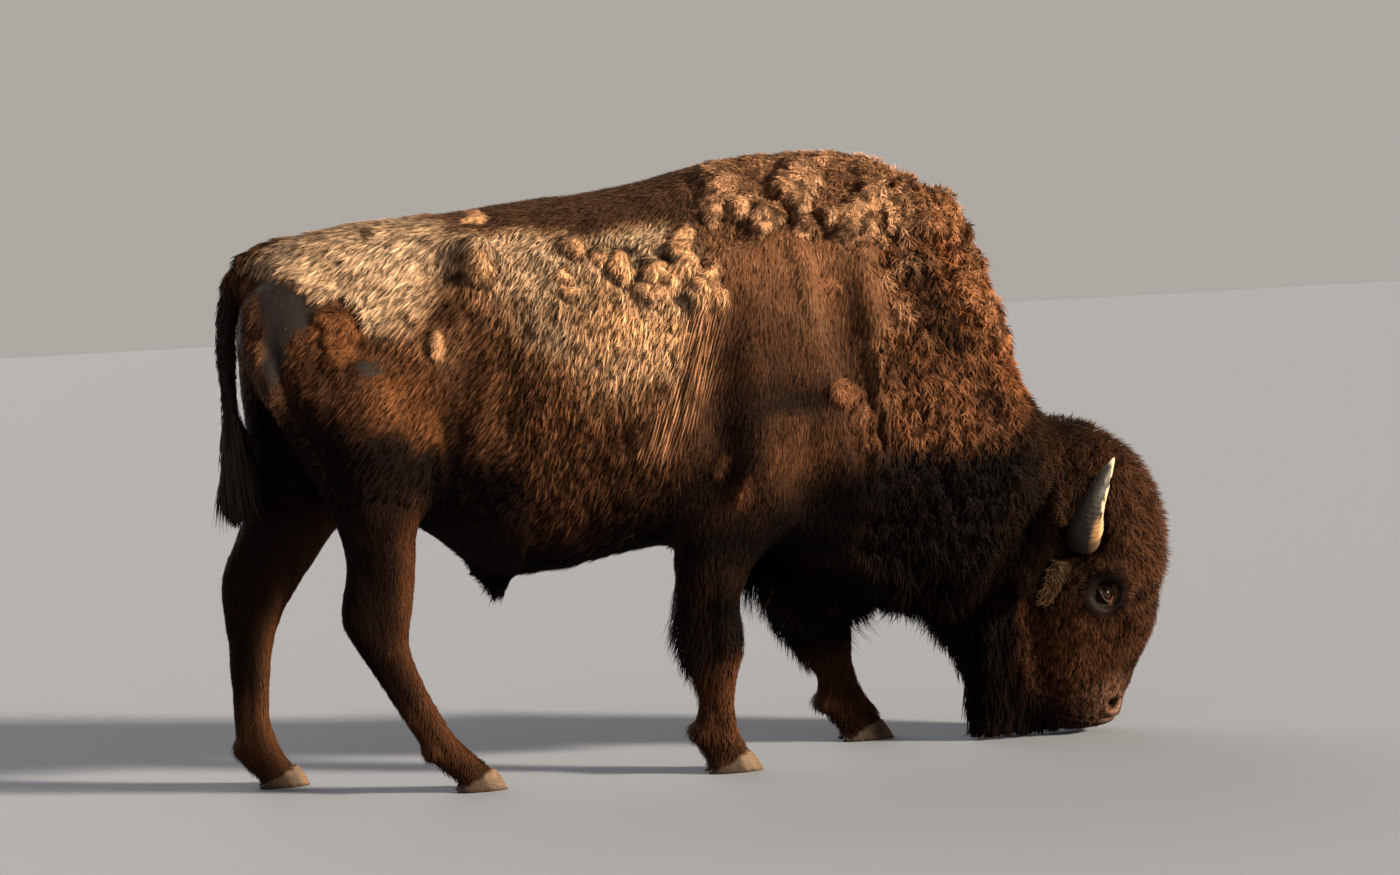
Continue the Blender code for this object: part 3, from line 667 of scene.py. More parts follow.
def sculpt_muzzle(places, normals):
    """Opens the nostrils, flares their rims and parts the lips. Gives the share of rim and of hole too."""
    flip = folded(places)
    from_nostril = places * flip - np.array(NOSTRIL)
    axis = np.array(NOSTRIL_AXIS) / np.linalg.norm(NOSTRIL_AXIS)
    along = from_nostril @ axis
    flat = from_nostril - along[:, None] * axis
    up = np.array((-0.45, 0.30, 0.84))
    up = up - axis * (up @ axis)
    up /= np.linalg.norm(up)
    across = np.cross(axis, up)
    distance = np.hypot((flat @ up) / 0.0200, (flat @ across) / 0.0205)
    near = np.abs(along) < 0.05
    hole = ease(distance, 1.15, 0.45) * near
    rim = bell(distance - 1.50, 0.35) * near
    moved = places - axis * flip * (0.026 * hole)[:, None] + normals * (0.0042 * rim)[:, None]
    line = height_on(places[:, 0], MOUTH_LINE)
    lips = bell(places[:, 2] - line, 0.0045) * ease(places[:, 0], 1.00, 1.03)
    moved = moved - normals * (0.006 * lips * ease(places[:, 2], 0.02, 0.03))[:, None]
    return moved, rim * (0.15 + 0.85 * ease(flat @ up + 0.4 * (flat @ across), 0.012, -0.016)), hole


EYEBALL = 0.0240
EYE_AXIS = (0.20, 0.98, -0.03)  # where the eye looks, on the left side
EYE_SLIT = (0.60, 0.0, -0.80)  # from the outer corner to the inner one
LID = 0.0030
OPENING = (0.0225, 0.0150, 0.0125)  # half length, and half height towards the brow and towards the cheek


def eye_frame():
    axis = np.array(EYE_AXIS) / np.linalg.norm(EYE_AXIS)
    slit = np.array(EYE_SLIT) - axis * (np.array(EYE_SLIT) @ axis)
    slit /= np.linalg.norm(slit)
    return axis, slit, np.cross(axis, slit)


def sculpt_lids(places):
    """Shapes lids over the eyeballs, with an almond opening. Gives the share of each small feature too."""
    flip = folded(places)
    offset = places * flip - np.array(EYE)
    axis, slit, cheekward = eye_frame()
    height = offset @ axis
    u, v = offset @ slit, offset @ cheekward
    reach = np.hypot(u, v)
    half = np.where(v > 0, OPENING[2], OPENING[1])
    opening = (np.abs(u / OPENING[0]) ** 1.7 + np.abs(v / half) ** 1.9) ** 0.55
    out = EYEBALL + LID
    lid = out - 1.05 * reach**2 / (2 * out)
    lid += 0.0013 * bell(opening - 1.15, 0.16)
    lid -= 0.0026 * bell(opening - np.where(v > 0, 1.9, 1.65), 0.20)
    lid += 0.0014 * bell(opening - np.where(v > 0, 2.4, 2.1), 0.25)
    lid -= 0.0012 * bell(opening - 2.8, 0.25)
    behind = np.sqrt(np.clip((EYEBALL - 0.0045) ** 2 - reach**2, 0, None))
    wanted = np.where(opening < 1, behind, lid)
    share = ease(reach, 0.046, 0.024) * (height > -0.03)
    moved = offset + axis * (share * (wanted - height))[:, None]
    edge = ease(np.abs(opening - 1.05), 0.28, 0.08) * share
    corner = share * ease(np.hypot(u - 0.0215, (v + 0.003) * 0.55), 0.0085, 0.004)
    # A pale line on the lower lid's rim: a painted glint of the wet lid.
    wet = ease(np.abs(opening - 1.16), 0.14, 0.05) * ease(v, 0.004, 0.009) * share
    # A golden painted highlight on the lid's fold towards the brow.
    lit_brow = ease(np.abs(reach - 0.034), 0.008, 0.002) * ease(u - v, 0.018, 0.036) * share
    return (moved + np.array(EYE)) * flip, edge, corner, wet, lit_brow


def ear_shell(name):
    """The ear's own skin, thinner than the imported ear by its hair, with the hollow of the ear in front."""
    shell = flesh_shell((name,), name + "_skin")
    remesh(shell, EAR_VOXEL)
    smooth(shell, 6)
    mesh = shell.data
    places = places_of(mesh) - normals_of(mesh) * EAR_HAIR
    put_places(mesh, relaxed(places, edges_of(mesh), 2))
    return shell


def joined(name, pieces):
    mesh = bmesh.new()
    for piece in pieces:
        mesh.from_mesh(piece.data)
        bpy.data.objects.remove(piece)
    return solid(name, mesh, rounded=True)


def make_skin():
    """The skin with its features, and for each of its points the share of each small feature."""
    shell = flesh_shell(FLESH + CLAWS + DEWCLAWS, "shell")
    remesh(shell, WELD_VOXEL)
    outline = BVHTree.FromObject(shell, bpy.context.evaluated_depsgraph_get())
    draw_in(shell)
    settle(shell, outline)
    refine(shell, near_lumps)
    refine(shell, on_head)
    refine(shell, lambda points: points[:, 2] < 0.13)
    refine(shell, on_muzzle)
    refine(shell, lambda points: round_eyes(points, 0.052))
    refine(shell, lambda points: round_eyes(points, 0.036))
    mesh = shell.data
    at = Places(places_of(mesh), normals_of(mesh))
    shares = zones_of(at)
    rise = relief(at, shares) + sculpt_head(at, shares)
    put_places(mesh, at.points + at.normals * rise[:, None])
    places, lid_edge, corner, wet, lit_brow = sculpt_lids(places_of(mesh))
    put_places(mesh, places)
    places, rim, hole = sculpt_muzzle(places, normals_of(mesh))
    put_places(mesh, places)
    count = len(mesh.vertices)
    skin = joined("skin", [shell] + [ear_shell(name) for name in EARS])
    extra = len(skin.data.vertices) - count
    features = {
        "lid_edge": lid_edge, "eye_corner": corner, "painted_lid_glint": wet, "painted_brow_highlight": lit_brow,
        "nostril_rim": rim, "nostril_hole_shade": hole,
    }
    features = {name: np.concatenate([values, np.zeros(extra)]) for name, values in features.items()}
    features["ears"] = np.concatenate([np.zeros(count), np.ones(extra)])
    return skin, features


# ---- the coat's recipe at every point

def markings(at, shares):
    """The coat's colour at each point, from pale wool to black beard."""
    ears, tail, beard, crown, face, forelegs, hindlegs, mane, hump, rump, shoulders, flanks = shares.values()
    x, z = at.sx, at.sz
    tone = np.tile(np.array(RUST_WOOL), (len(x), 1))

    def lay(colour, share):
        tone[:] = mixed(tone, colour, share)

    def spot(colour, share, middle, radii, turn=0, soft=0.6):
        lay(colour, share * patch(x, z, middle, radii, turn, soft))

    # Flanks: tan above, rust in the middle, nearly black on the belly; the change lies higher at the rear.
    lay(TAN_WOOL, ease(z - height_on(x, WOOL_FRINGE), -0.17, 0.03))
    drop = z + 0.16 * ease(x, -0.25, -0.60)
    lay(BROWN, ease(drop, 1.06, 0.92) * 0.8)
    lay(DARK_BROWN, ease(drop, 0.93, 0.76))
    lay(BLACKISH, ease(z, 0.74, 0.60) * 0.8)
    # Darker streaks that lean with the lie: partly darker hair, partly painted shade in the gaps between
    # locks.
    leaning = at.points - 0.34 * at.z[:, None] * np.array((1, 0, 0))
    streaks = ease(cloudy(leaning, (0.026, 0.05, 0.09), 60), 0.0, 0.5)
    lay(DARK_BROWN, streaks * 0.45 * ease(at.z, 1.40, 1.20))
    # The rump below the fringe.
    behind = rump + hindlegs
    below = ease(height_on(at.mx, WOOL_FRINGE) - at.mz, -0.01, 0.03) * behind
    lay(BROWN, below * ease(x, -0.66, -0.76))
    spot(FOXY, 0.75 * below, (-0.835, 1.10), (0.080, 0.150), 20)
    spot(TAN_WOOL, 0.5 * below, (-0.80, 1.25), (0.10, 0.06))
    lay(BLACKISH, ease(z + 0.35 * (x + 0.95), 1.09, 0.96) * behind * 0.95)
    lay(FOXY, at.oval((-1.035, 1.290), (0.070, 0.078), 0, 0.3))
    wool = pale_wool(at)
    loin = ease(x, -0.80, -0.66) * ease(x, -0.20, -0.40)
    worn = ease(at.cloud((0.10, 0.10, 0.07), 68), -0.5, 0.5) * loin
    worn = np.maximum(worn * ease(z, 1.42, 1.34) * 0.7, 0.3 * worn)
    lay(PALE_WOOL, wool * (1 - worn))
    warm = ease(x, -0.62, -0.30) * ease(z, 1.46, 1.36)
    lay(WARM_WOOL, wool * (0.25 + 0.75 * warm) * ease(at.cloud(0.09, 61), -0.9, 0.4))
    bright = patch(x, z, (-0.14, 1.24), (0.13, 0.16), -20, 0.7)
    bright = np.maximum(bright, patch(x, z, (-0.80, 1.44), (0.17, 0.08), -14, 0.7))
    tone *= (1 + 0.36 * bright * wool - 0.28 * patch(x, z, (-0.48, 1.30), (0.15, 0.08), 0, 0.7))[:, None]
    lay((0.27, 0.125, 0.062), combed(at) * 0.9)
    # A pale line down the edge of the buttock: a painted highlight along that ridge.
    edge = np.interp(at.z, (0.82, 0.94, 1.20, 1.32, 1.46), (-1.13, -1.194, -1.248, -1.262, -1.275))
    painted_lit_ridge = bell(at.mx - edge, 0.014) * ease(at.z, 0.82, 0.95) * ease(at.z, 1.48, 1.42)
    lay(TAN_WOOL, 0.7 * painted_lit_ridge * at.outer * ease(at.cloud(0.04, 67), -0.8, 0.4))
    # Near black in the crease ahead of the thigh and below it: painted shade.
    shaded = patch(x, z, (-0.755, 0.99), (0.030, 0.11), 0, 0.6)
    shaded = np.clip(shaded + patch(x, z, (-0.68, 0.85), (0.10, 0.08), 0, 0.6), 0, 1)
    lay(BLACKISH, shaded * 0.8 * at.outer)
    # A dark patch in the wool: painted shade in a hollow.
    spot(DARK_BROWN, wool * 0.6, (-0.383, 1.470), (0.045, 0.020), 10)
    # The spine, with a darker band from the loin to the hump.
    spine = ease(z - height_on(x, SPINE_EDGE), -0.012, 0.03) * ease(x, -0.80, -0.66)
    lay((0.040, 0.020, 0.0115), spine * (1 - hump) * 0.88)
    lay(TAN_WOOL, spine * ease(at.up, 0.80, 0.97) * 0.25)
    lay(SHOULDER, shoulders)
    lay((0.155, 0.068, 0.032), shoulders * ease(z, 1.20, 1.44) * 0.8)
    spot(TAN_WOOL, shoulders * 0.30, (0.45, 1.27), (0.03, 0.22), 6, 0.7)
    spot(TAN_WOOL, shoulders * 0.25, (0.26, 1.37), (0.03, 0.12), 12, 0.7)
    lay(DARK_BROWN, shoulders * ease(z, 1.02, 0.78) * 0.45)
    # Painted shadows on the shoulder: below its upper ridge and at its middle.
    spot(BLACKISH, shoulders * 0.92, (0.20, 1.055), (0.13, 0.045), 8)
    spot(BLACKISH, shoulders * 0.85, (0.03, 0.97), (0.08, 0.14))
    tone *= (1 + 0.25 * shoulders * ease(z, 1.15, 1.35))[:, None]
    # Reddish painted light low on the shoulder.
    spot(FOXY, shoulders * 0.28, (0.24, 0.90), (0.10, 0.055), 25)
    # A painted shadow low on the flank behind the elbow.
    spot(BLACKISH, (shoulders + flanks) * 0.85 * at.outer, (-0.10, 0.80), (0.17, 0.10), 35)
    # A narrow strip of painted light near the elbow.
    spot((0.22, 0.075, 0.030), shoulders * 0.8, (0.052, 0.783), (0.018, 0.055), -10, 0.5)
    # Painted shade in the hollows behind the shoulder and over the elbow.
    spot(DARK_BROWN, shoulders * 0.6, (0.02, 1.30), (0.05, 0.22))
    spot(DARK_BROWN, shoulders * 0.7, (0.28, 0.93), (0.05, 0.20), 25)
    lay(BLACKISH, shoulders * ease(z - 0.25 * (x - 0.1), 0.80, 0.68))
    # The hump and mane: dark new coat with last winter's wool still hanging on it.
    front = hump + mane
    above = z - height_on(at.x, MANE_BLACK)
    lay(MANE, front * ease(above, -0.06, 0.08))
    lay(DARK_BROWN, front * ease(at.cloud(0.10, 63) - 0.3, -0.6, 0.3) * 0.7)
    lay((0.19, 0.088, 0.043), hump * 0.75 * ease(above, 0.0, 0.1))
    spot(BLACKISH, mane * 0.55, (0.640, 1.280), (0.060, 0.14), 6, 0.7)
    lay(BLACKISH, front * ease(above, 0.10, -0.04))
    edge = ease(at.x - 0.76 + 0.50 * (at.z - 1.30), -0.08, 0.05) * ease(above, 0.04, 0.18)
    tufted = ease(billows(at.points, (0.050, 0.050, 0.075), 25), 0.2, 0.6)
    lay(MANE_EDGE, mane * edge * (0.25 + 0.65 * tufted))
    clinging = old_wool(at, shares) * ease(at.z, 1.02, 1.30) * 0.9
    lay(HUMP_WOOL, clinging * ease(at.x, 0.72, 0.56))
    lay((0.36, 0.150, 0.066), clinging * ease(at.x, 0.56, 0.72))
    lay(HUMP_WOOL, front * ease(at.up, 0.55, 0.9) * 0.4)
    spot(BLACKISH, 0.9 * (front + shoulders), (0.51, 0.75), (0.13, 0.13), 0, 0.5)
    # The head.
    head = crown + face
    lay(CROWN_BROWN, head)
    lay(FOREHEAD, head * ease(at.sx + 0.10 * at.sz, 1.18, 1.30) * ease(z, 0.16, 0.30))
    lay(DARK_BROWN, face * 0.3 * ease(at.sx, 1.15, 1.05))
    back = np.interp(at.z, (0.30, 0.46, 0.54), (0.85, 0.87, 0.97))
    lay(BLACKISH, head * ease(at.sx - back, 0.05, -0.05) * 0.9)
    spot(SHIN_BROWN, face * 0.7, (1.06, 0.25), (0.14, 0.13))
    spot((0.165, 0.082, 0.046), face * 0.8, (1.15, 0.09), (0.07, 0.05), 20, 0.7)
    # Olive-brown hair round the ear, partly its colour, partly painted light: made nearly twice as light
    # where horn and crown shade it.
    spot(toned(EAR_BROWN, 1.9), head * 0.8, (0.950, 0.500), (0.105, 0.050), 55, 0.7)
    spot((0.10, 0.030, 0.016), head * 0.5, (0.880, 0.362), (0.028, 0.036))
    lay(BLACKISH, head * at.near_eye(0.068) * 0.7)
    lay(BLACKISH, beard)
    lay(EAR_BROWN, ears * (0.45 + 0.55 * ease(at.cloud(0.05, 69), -0.5, 0.3)))
    # The legs: black above with browner shins, and painted sunlight on their forward-facing sides.
    lay(BLACKISH, forelegs)
    lay(DARK_BROWN, hindlegs)
    lay(BLACKISH, hindlegs * (1 - at.outer) * 0.1)
    # The far hind leg's inner side is painted nearly twice as light: painted light where it stands in shade.
    tone *= (1 + 0.9 * hindlegs * (1 - at.outer) * (at.side == LEFT))[:, None]
    lay(BLACKISH, hindlegs * ease(at.ahead, 0.35, -0.15) * ease(z, 0.20, 0.34) * 0.75)
    # The forward-facing sides of the legs turn brown as painted sunlight.
    painted_sunlit_front = ease(at.ahead + 0.25 * at.cloud((0.02, 0.02, 0.05), 73), 0.15, 0.75)
    lay(SHIN_BROWN, forelegs * ease(z, 0.36, 0.26) * (0.45 + 0.5 * painted_sunlit_front))
    lay(SHIN_BROWN, hindlegs * painted_sunlit_front * 0.85)
    lay(SHIN_BROWN, hindlegs * 0.35 * ease(z, 0.30, 0.18))
    lay(DARK_BROWN, (forelegs + hindlegs) * ease(at.z, 0.11, 0.07) * 0.5)
    lay(DARK_BROWN, tail)
    lay(BROWN, tail * ease(at.z, 1.42, 1.48) * 0.7)
    lay((0.026, 0.019, 0.015), tail * ease(z, 1.18, 1.05))
    pale, _, pale_gap_shade = lump_field(at, PALE_LUMPS)
    tan, _, tan_gap_shade = lump_field(at, TAN_LUMPS)
    # The loose balls are pale wool, painted paler still on their upper sides as painted light.
    lay(toned(WARM_WOOL, 1.9), pale * (0.5 + 0.5 * ease(at.up, -0.2, 0.5)))
    scruffy = 0.55 + 0.45 * ease(at.cloud((0.012, 0.012, 0.02), 65), -0.3, 0.4)
    lay((0.27, 0.112, 0.053), tan * shoulders * scruffy * ease(at.z, 0.70, 1.10))
    ragged = ease(at.cloud((0.03, 0.03, 0.05), 66), -0.1, 0.5)
    spot((0.12, 0.048, 0.022), ragged * shoulders * 0.6, (0.22, 0.90), (0.13, 0.10), 20, 0.7)
    # The gaps round the balls of wool are darker: partly the dark new coat, partly painted shade.
    lay(DARK_BROWN, np.maximum(pale_gap_shade * 0.75, tan_gap_shade * 0.6))
    # Near black in the holes: partly dark new coat, partly painted shade.
    lay(BLACKISH, pits(at) * 0.9)
    # No two tufts of a real coat are one colour.
    shade = 1 + 0.15 * at.cloud(0.022, 71) + 0.13 * at.cloud(0.08, 72)
    return tone * shade[:, None]


RECIPES = {  # length, width, lift in degrees, curl, clumping, tufts for each square metre, lie (x, z)
    "ears": (0.050, 0.0024, 48, 0.90, 0.20, 90000, (-0.50, -0.55)),
    "tail": (0.036, 0.0055, 12, 0.10, 0.15, 28000, (0.0, -1.0)),
    "beard": (0.095, 0.0058, 17, 0.30, 0.45, 18000, (-0.10, -1.0)),
    "crown": (0.046, 0.0030, 56, 0.95, 0.30, 30000, (0.20, -1.0)),
    "face": (0.030, 0.0027, 34, 0.80, 0.35, 42000, (-0.10, -1.0)),
    "forelegs": (0.026, 0.0038, 15, 0.20, 0.20, 26000, (-0.10, -1.0)),
    "hindlegs": (0.020, 0.0038, 12, 0.15, 0.15, 29000, (-0.06, -1.0)),
    "mane": (0.031, 0.0039, 36, 1.10, 0.50, 30000, (-0.05, -1.0)),
    "hump": (0.021, 0.0031, 34, 0.90, 0.40, 43000, (-0.30, -1.0)),
    "rump": (0.026, 0.0036, 11, 0.35, 0.55, 31000, (-0.70, -0.8)),
    "shoulders": (0.017, 0.0031, 10, 0.25, 0.20, 29000, (-0.12, -1.0)),
    "flanks": (0.025, 0.0034, 12, 0.40, 0.65, 33000, (-0.34, -1.0)),
}


def recipe(at, shares):
    """Length, width, lift, curl, clumping, tufts and lie at every point."""
    ears, tail, beard, crown, face, forelegs, hindlegs, mane, hump, rump, shoulders, flanks = shares.values()
    weights = np.stack(list(shares.values()), axis=1)
    numbers = weights @ np.array([row[:6] for row in RECIPES.values()])
    lie = weights @ np.array([(back, 0.0, down) for *_, (back, down) in RECIPES.values()])
    length, width, lift, curl, clumping, tufts = numbers.T
    bare = bare_patches(at)
    pale, _, _ = lump_field(at, PALE_LUMPS)
    tan, _, _ = lump_field(at, TAN_LUMPS)
    fluff = np.maximum(pale, tan)
    legs = forelegs + hindlegs
    under = rump * ease(height_on(at.mx, WOOL_FRINGE) - at.mz, 0.0, 0.02)
    length *= (1 - 0.30 * under) * (1 - 0.30 * fluff)
    lift += 6 * fluff + 16 * tan * shoulders
    curl += (0.3 + 0.5 * shoulders) * fluff
    length *= 1 + 0.9 * tan * shoulders
    clumping *= 1 - 0.7 * fluff
    width *= 1 - 0.20 * fluff
    tufts *= 1 + 0.5 * fluff
    clinging = old_wool(at, shares)
    length *= 1 - 0.25 * (1 - clinging) * (hump + 0.3 * mane)
    length += 0.062 * chaps(at) * forelegs
    lift += 20 * chaps(at) * forelegs
    length += 0.100 * tail * ease(at.z, 1.12, 0.98)
    wisps = 0.045 * (1 + 0.9 * at.cloud(0.010, 86))
    length = np.where(tail > 0.5, np.minimum(length, wisps + np.clip(at.z - 0.84, 0, None)), length)
    heel = legs * ease(at.z, 0.20, 0.13) * ease(at.ahead, 0.1, -0.7)
    length *= 1 - 0.30 * ease(at.z, 0.16, 0.07) * legs
    length += 0.012 * heel
    lift += 14 * legs * ease(at.z, 0.13, 0.07) + 8 * heel
    length *= 1 - 0.60 * face * ease(at.z, 0.22, 0.13)
    length *= 1 - 0.30 * crown * ease(at.z, 0.55, 0.35)
    length *= 1 - 0.35 * face * ease(at.x + 0.5 * (0.29 - at.z), 1.20, 1.28)
    spine = ease(at.mz - height_on(at.mx, SPINE_EDGE), -0.02, 0.03) * flanks
    length *= 1 - 0.30 * spine
    crest = (hump + mane) * ease(at.up, 0.3, 0.8) * ease(at.x, 0.30, 0.55)
    lift += 24 * crest
    belly = (flanks + rump) * ease(at.z, 0.78, 0.66)
    length *= 1 + 0.2 * belly
    apron = mane * ease(at.z, 0.70, 0.50)
    beneath = ease(at.up, -0.2, -0.7)
    brisket = ease(np.abs(at.y), 0.15, 0.10) * ease(at.x, 0.05, 0.10) * ease(at.x, 0.48, 0.40) * beneath
    brisket *= ease(at.z, 0.36, 0.42) * ease(at.z, 0.80, 0.70)
    length += 0.075 * apron * (1 - brisket) + (0.10 + 0.15 * ease(at.x, 0.38, 0.26)) * brisket
    width *= 1 + 0.9 * brisket
    tufts *= 1 + 0.6 * brisket
    curl -= 0.6 * apron
    hanging = np.clip(apron + brisket + beard + mane * ease(at.z, 0.9, 0.7), 0, 1)
    lift += 50 * hanging * ease(at.up, -0.2, -0.9)
    streak = combed(at) * (1 - rump)
    length += 0.040 * streak
    curl *= 1 - 0.95 * streak
    lift *= 1 - 0.45 * streak
    width *= 1 - 0.25 * streak
    clumping *= 1 - streak
    sheath = patch(at.x, at.z, SHEATH, (0.06, 0.09)) * ease(np.abs(at.y), 0.12, 0.08)
    length *= 1 + 0.5 * sheath
    length = np.minimum(length, 0.012 + 1.1 * np.clip(at.z - 0.004, 0, None))
    tufts *= 1 - 0.98 * bare
    length *= 1 - 0.5 * np.maximum(pits(at), bare)
    # The lie turns a little from place to place, and runs back along the spine and belly.
    furry_head = crown + face + ears
    lie[:, 0] -= 1.1 * ease(at.up, 0.45, 0.9) * (1 - furry_head)
    lie[:, 0] -= 1.5 * belly * ease(at.up, -0.4, -0.9) * (1 - sheath)
    lie[:, 0] += 0.30 * at.cloud(0.07, 81) + 0.15 * at.cloud(0.03, 82)
    lie[:, 1] += 0.25 * at.cloud(0.07, 83) + 0.5 * at.side * ease(at.up, 0.3, 0.9)
    lie[:, 1] += 0.8 * at.side * ears
    lie += (np.array((-RIB_SLANT, 0.0, -1.0)) - lie) * streak[:, None]
    # Round the eye the hair points away from it.
    round_eye = patch(at.x, at.z, EYE[::2], (0.085, 0.085), 0, 0.3) * at.outer * (1 - at.ears)
    away = unit(np.stack([at.x - EYE[0], np.zeros(len(at.x)), at.z - EYE[2]], axis=1))
    lie += (1.1 * away - lie) * round_eye[:, None]
    length *= 1 - 0.45 * round_eye
    # Nothing grows on the nose, round the eyes or under the hooves.
    nose = face * ease(at.x - 0.6 * at.z, 1.118, 1.140) * ease(at.z, 0.135, 0.115)
    nose = np.maximum(nose, face * ease(at.z, 0.052, 0.044) * ease(at.x, 1.11, 1.14))
    eye = at.near_eye(0.054) * (face + crown)
    tufts *= (1 - np.clip(nose + eye, 0, 1)) * ease(at.z, 0.006, 0.012) * ease(over_hoof(at), -0.002, 0.004)
    return {
        "hair_length": length, "hair_width": width, "hair_lift": np.radians(lift), "hair_curl": curl,
        "hair_clumping": clumping, "hair_tufts": tufts, "hair_streak": streak, "hair_lie": lie,
        "bare_nose": nose, "bare_eye": eye, "bare_patch": bare,
    }


HAIR_NUMBERS = (
    "hair_length", "hair_width", "hair_lift", "hair_curl", "hair_clumping", "hair_tufts", "hair_streak",
)


def combed_flat(lie, normals):
    """The lie brought down onto the skin."""
    return unit(lie - normals * np.sum(lie * normals, axis=1)[:, None])


def write_recipe(skin, features):
    """Writes the recipe onto the skin as attributes, and returns each point's zone and side."""
    mesh = skin.data
    at = Places(places_of(mesh), normals_of(mesh), features["ears"])
    shares = zones_of(at)
    tone = relaxed(markings(at, shares), edges_of(mesh), 1, 0.3)
    hair = recipe(at, shares)
    for name in HAIR_NUMBERS:
        put(mesh, name, "FLOAT", hair[name])
    put(mesh, "hair_lie", "FLOAT_VECTOR", combed_flat(hair["hair_lie"], at.normals))
    put(mesh, "skin_outward", "FLOAT_VECTOR", at.normals)
    put(mesh, "hair_tone", "FLOAT_COLOR", tone)
    # The skin under the hair is darker than the hair: partly darker underwool, partly painted shade deep in
    # the coat.
    short = sum(shares[name] for name in ("flanks", "rump", "shoulders", "forelegs", "hindlegs"))
    under = tone * (0.34 + 0.28 * short)[:, None]
    blotched = 0.35 + 0.65 * ease(at.cloud(0.009, 74), -0.6, 0.3)
    for colour, share in (
        (BARE_SKIN, hair["bare_patch"]),
        (NOSE_SKIN, hair["bare_nose"]),
        (toned(NOSE_SKIN, 0.35), hair["bare_nose"] * (1 - blotched) * 0.8),
        (NOSTRIL_RIM, features["nostril_rim"] * blotched * 0.65),
        # near black inside the nostril: painted shade in the hollow
        (toned(NOSE_SKIN, 0.06), features["nostril_hole_shade"]),
        (EYE_SKIN, hair["bare_eye"]),
        (toned(EYE_SKIN, 0.45), features["lid_edge"]),
        # the painted highlight on the brow's fold
        ((0.17, 0.095, 0.040), features["painted_brow_highlight"] * 0.7),
        # the painted glint on the lower lid
        ((0.20, 0.14, 0.12), features["painted_lid_glint"] * 0.5),
        (EYE_CORNER, features["eye_corner"]),
    ):
        under = mixed(under, colour, share)
    put(mesh, "skin_tone", "FLOAT_COLOR", under)
    put(mesh, "bare_share", "FLOAT", np.clip(hair["bare_patch"] + hair["bare_nose"] + hair["bare_eye"], 0, 1))
    return np.argmax(np.stack(list(shares.values()), axis=1), axis=1), at.side


# ---- the Geometry Nodes tree that grows tufts

class Nodes:
    """Adds nodes to a tree and joins them up."""

    def __init__(self, tree):
        self.tree = tree

    def add(self, kind, settings=None, **inputs):
        made = self.tree.nodes.new(kind)
        for key, value in (settings or {}).items():
            setattr(made, key, value)
        for key, value in inputs.items():
            self.feed(made.inputs[key.replace("_", " ")], value)
        return made

    def feed(self, socket, value):
        value = getattr(value, "socket", value)
        if isinstance(value, bpy.types.NodeSocket):
            self.tree.links.new(value, socket)
        else:
            socket.default_value = value

    def reckon(self, kind, operation, *values):
        made = self.add(kind, {"operation": operation})
        for socket, value in zip(made.inputs, values, strict=False):
            self.feed(socket, value)
        return made.outputs

    def number(self, operation, *values):
        return Number(self, self.reckon("ShaderNodeMath", operation, *values)[0])

    def point(self, x=0.0, y=0.0, z=0.0):
        return Arrow(self, self.add("ShaderNodeCombineXYZ", None, X=x, Y=y, Z=z).outputs[0])

    def parts(self, arrow):
        return [Number(self, part) for part in self.add("ShaderNodeSeparateXYZ", None, Vector=arrow).outputs]

    def named(self, name, kind="FLOAT"):
        made = self.add("GeometryNodeInputNamedAttribute", {"data_type": kind}, Name=name)
        return Number(self, made.outputs[0])

    def arrow(self, name, kind="FLOAT_VECTOR"):
        return Arrow(self, self.named(name, kind).socket)

    def stored(self, geometry, name, value, kind="FLOAT_VECTOR", domain="POINT"):
        return self.add(
            "GeometryNodeStoreNamedAttribute", {"data_type": kind, "domain": domain},
            Geometry=geometry, Name=name, Value=value,
        ).outputs[0]


class Number:
    """A number in a tree of nodes, to be reckoned with like any other."""

    def __init__(self, nodes, socket):
        self.nodes, self.socket = nodes, socket

    def by(self, operation, *others):
        return self.nodes.number(operation, self, *others)

    def __add__(self, other):
        return self.by("ADD", other)

    def __sub__(self, other):
        return self.by("SUBTRACT", other)

    def __mul__(self, other):
        return self.by("MULTIPLY", other)

    def __truediv__(self, other):
        return self.by("DIVIDE", other)


class Arrow(Number):
    """A place, a direction or a colour in a tree of nodes."""

    def by(self, operation, *others):
        return Arrow(self.nodes, self.nodes.reckon("ShaderNodeVectorMath", operation, self, *others)[0])

    def __mul__(self, number):
        made = self.nodes.add("ShaderNodeVectorMath", {"operation": "SCALE"}, Vector=self, Scale=number)
        return Arrow(self.nodes, made.outputs[0])

    def dot(self, other):
        return Number(self.nodes, self.nodes.reckon("ShaderNodeVectorMath", "DOT_PRODUCT", self, other)[1])

    def square_to(self, other):
        return self.by("CROSS_PRODUCT", other).by("NORMALIZE")


CARRIED = HAIR_NUMBERS + (
    "hair_lie", "skin_outward", "hair_tone", "tuft_root", "tuft_chance", "tuft_shape", "skin_map",
    "skin_tone", "bare_share",
)
LOCK_INPUTS = ("Clump Size", "Clump Slimness", "Clump Slant", "Clump Rise", "Clump Contrast", "Shade Range")
TUFT_INPUTS = ("Tuft Thickness", "Tuft Roundness")
CLUMP_REACH = 0.62  # how far the middle of a lock lies from its edge, for a lock of size 1
MAP_PATCH = 0.003  # how much of the unwrapped skin each tuft takes its colour from
FULL_TURN = 6.283


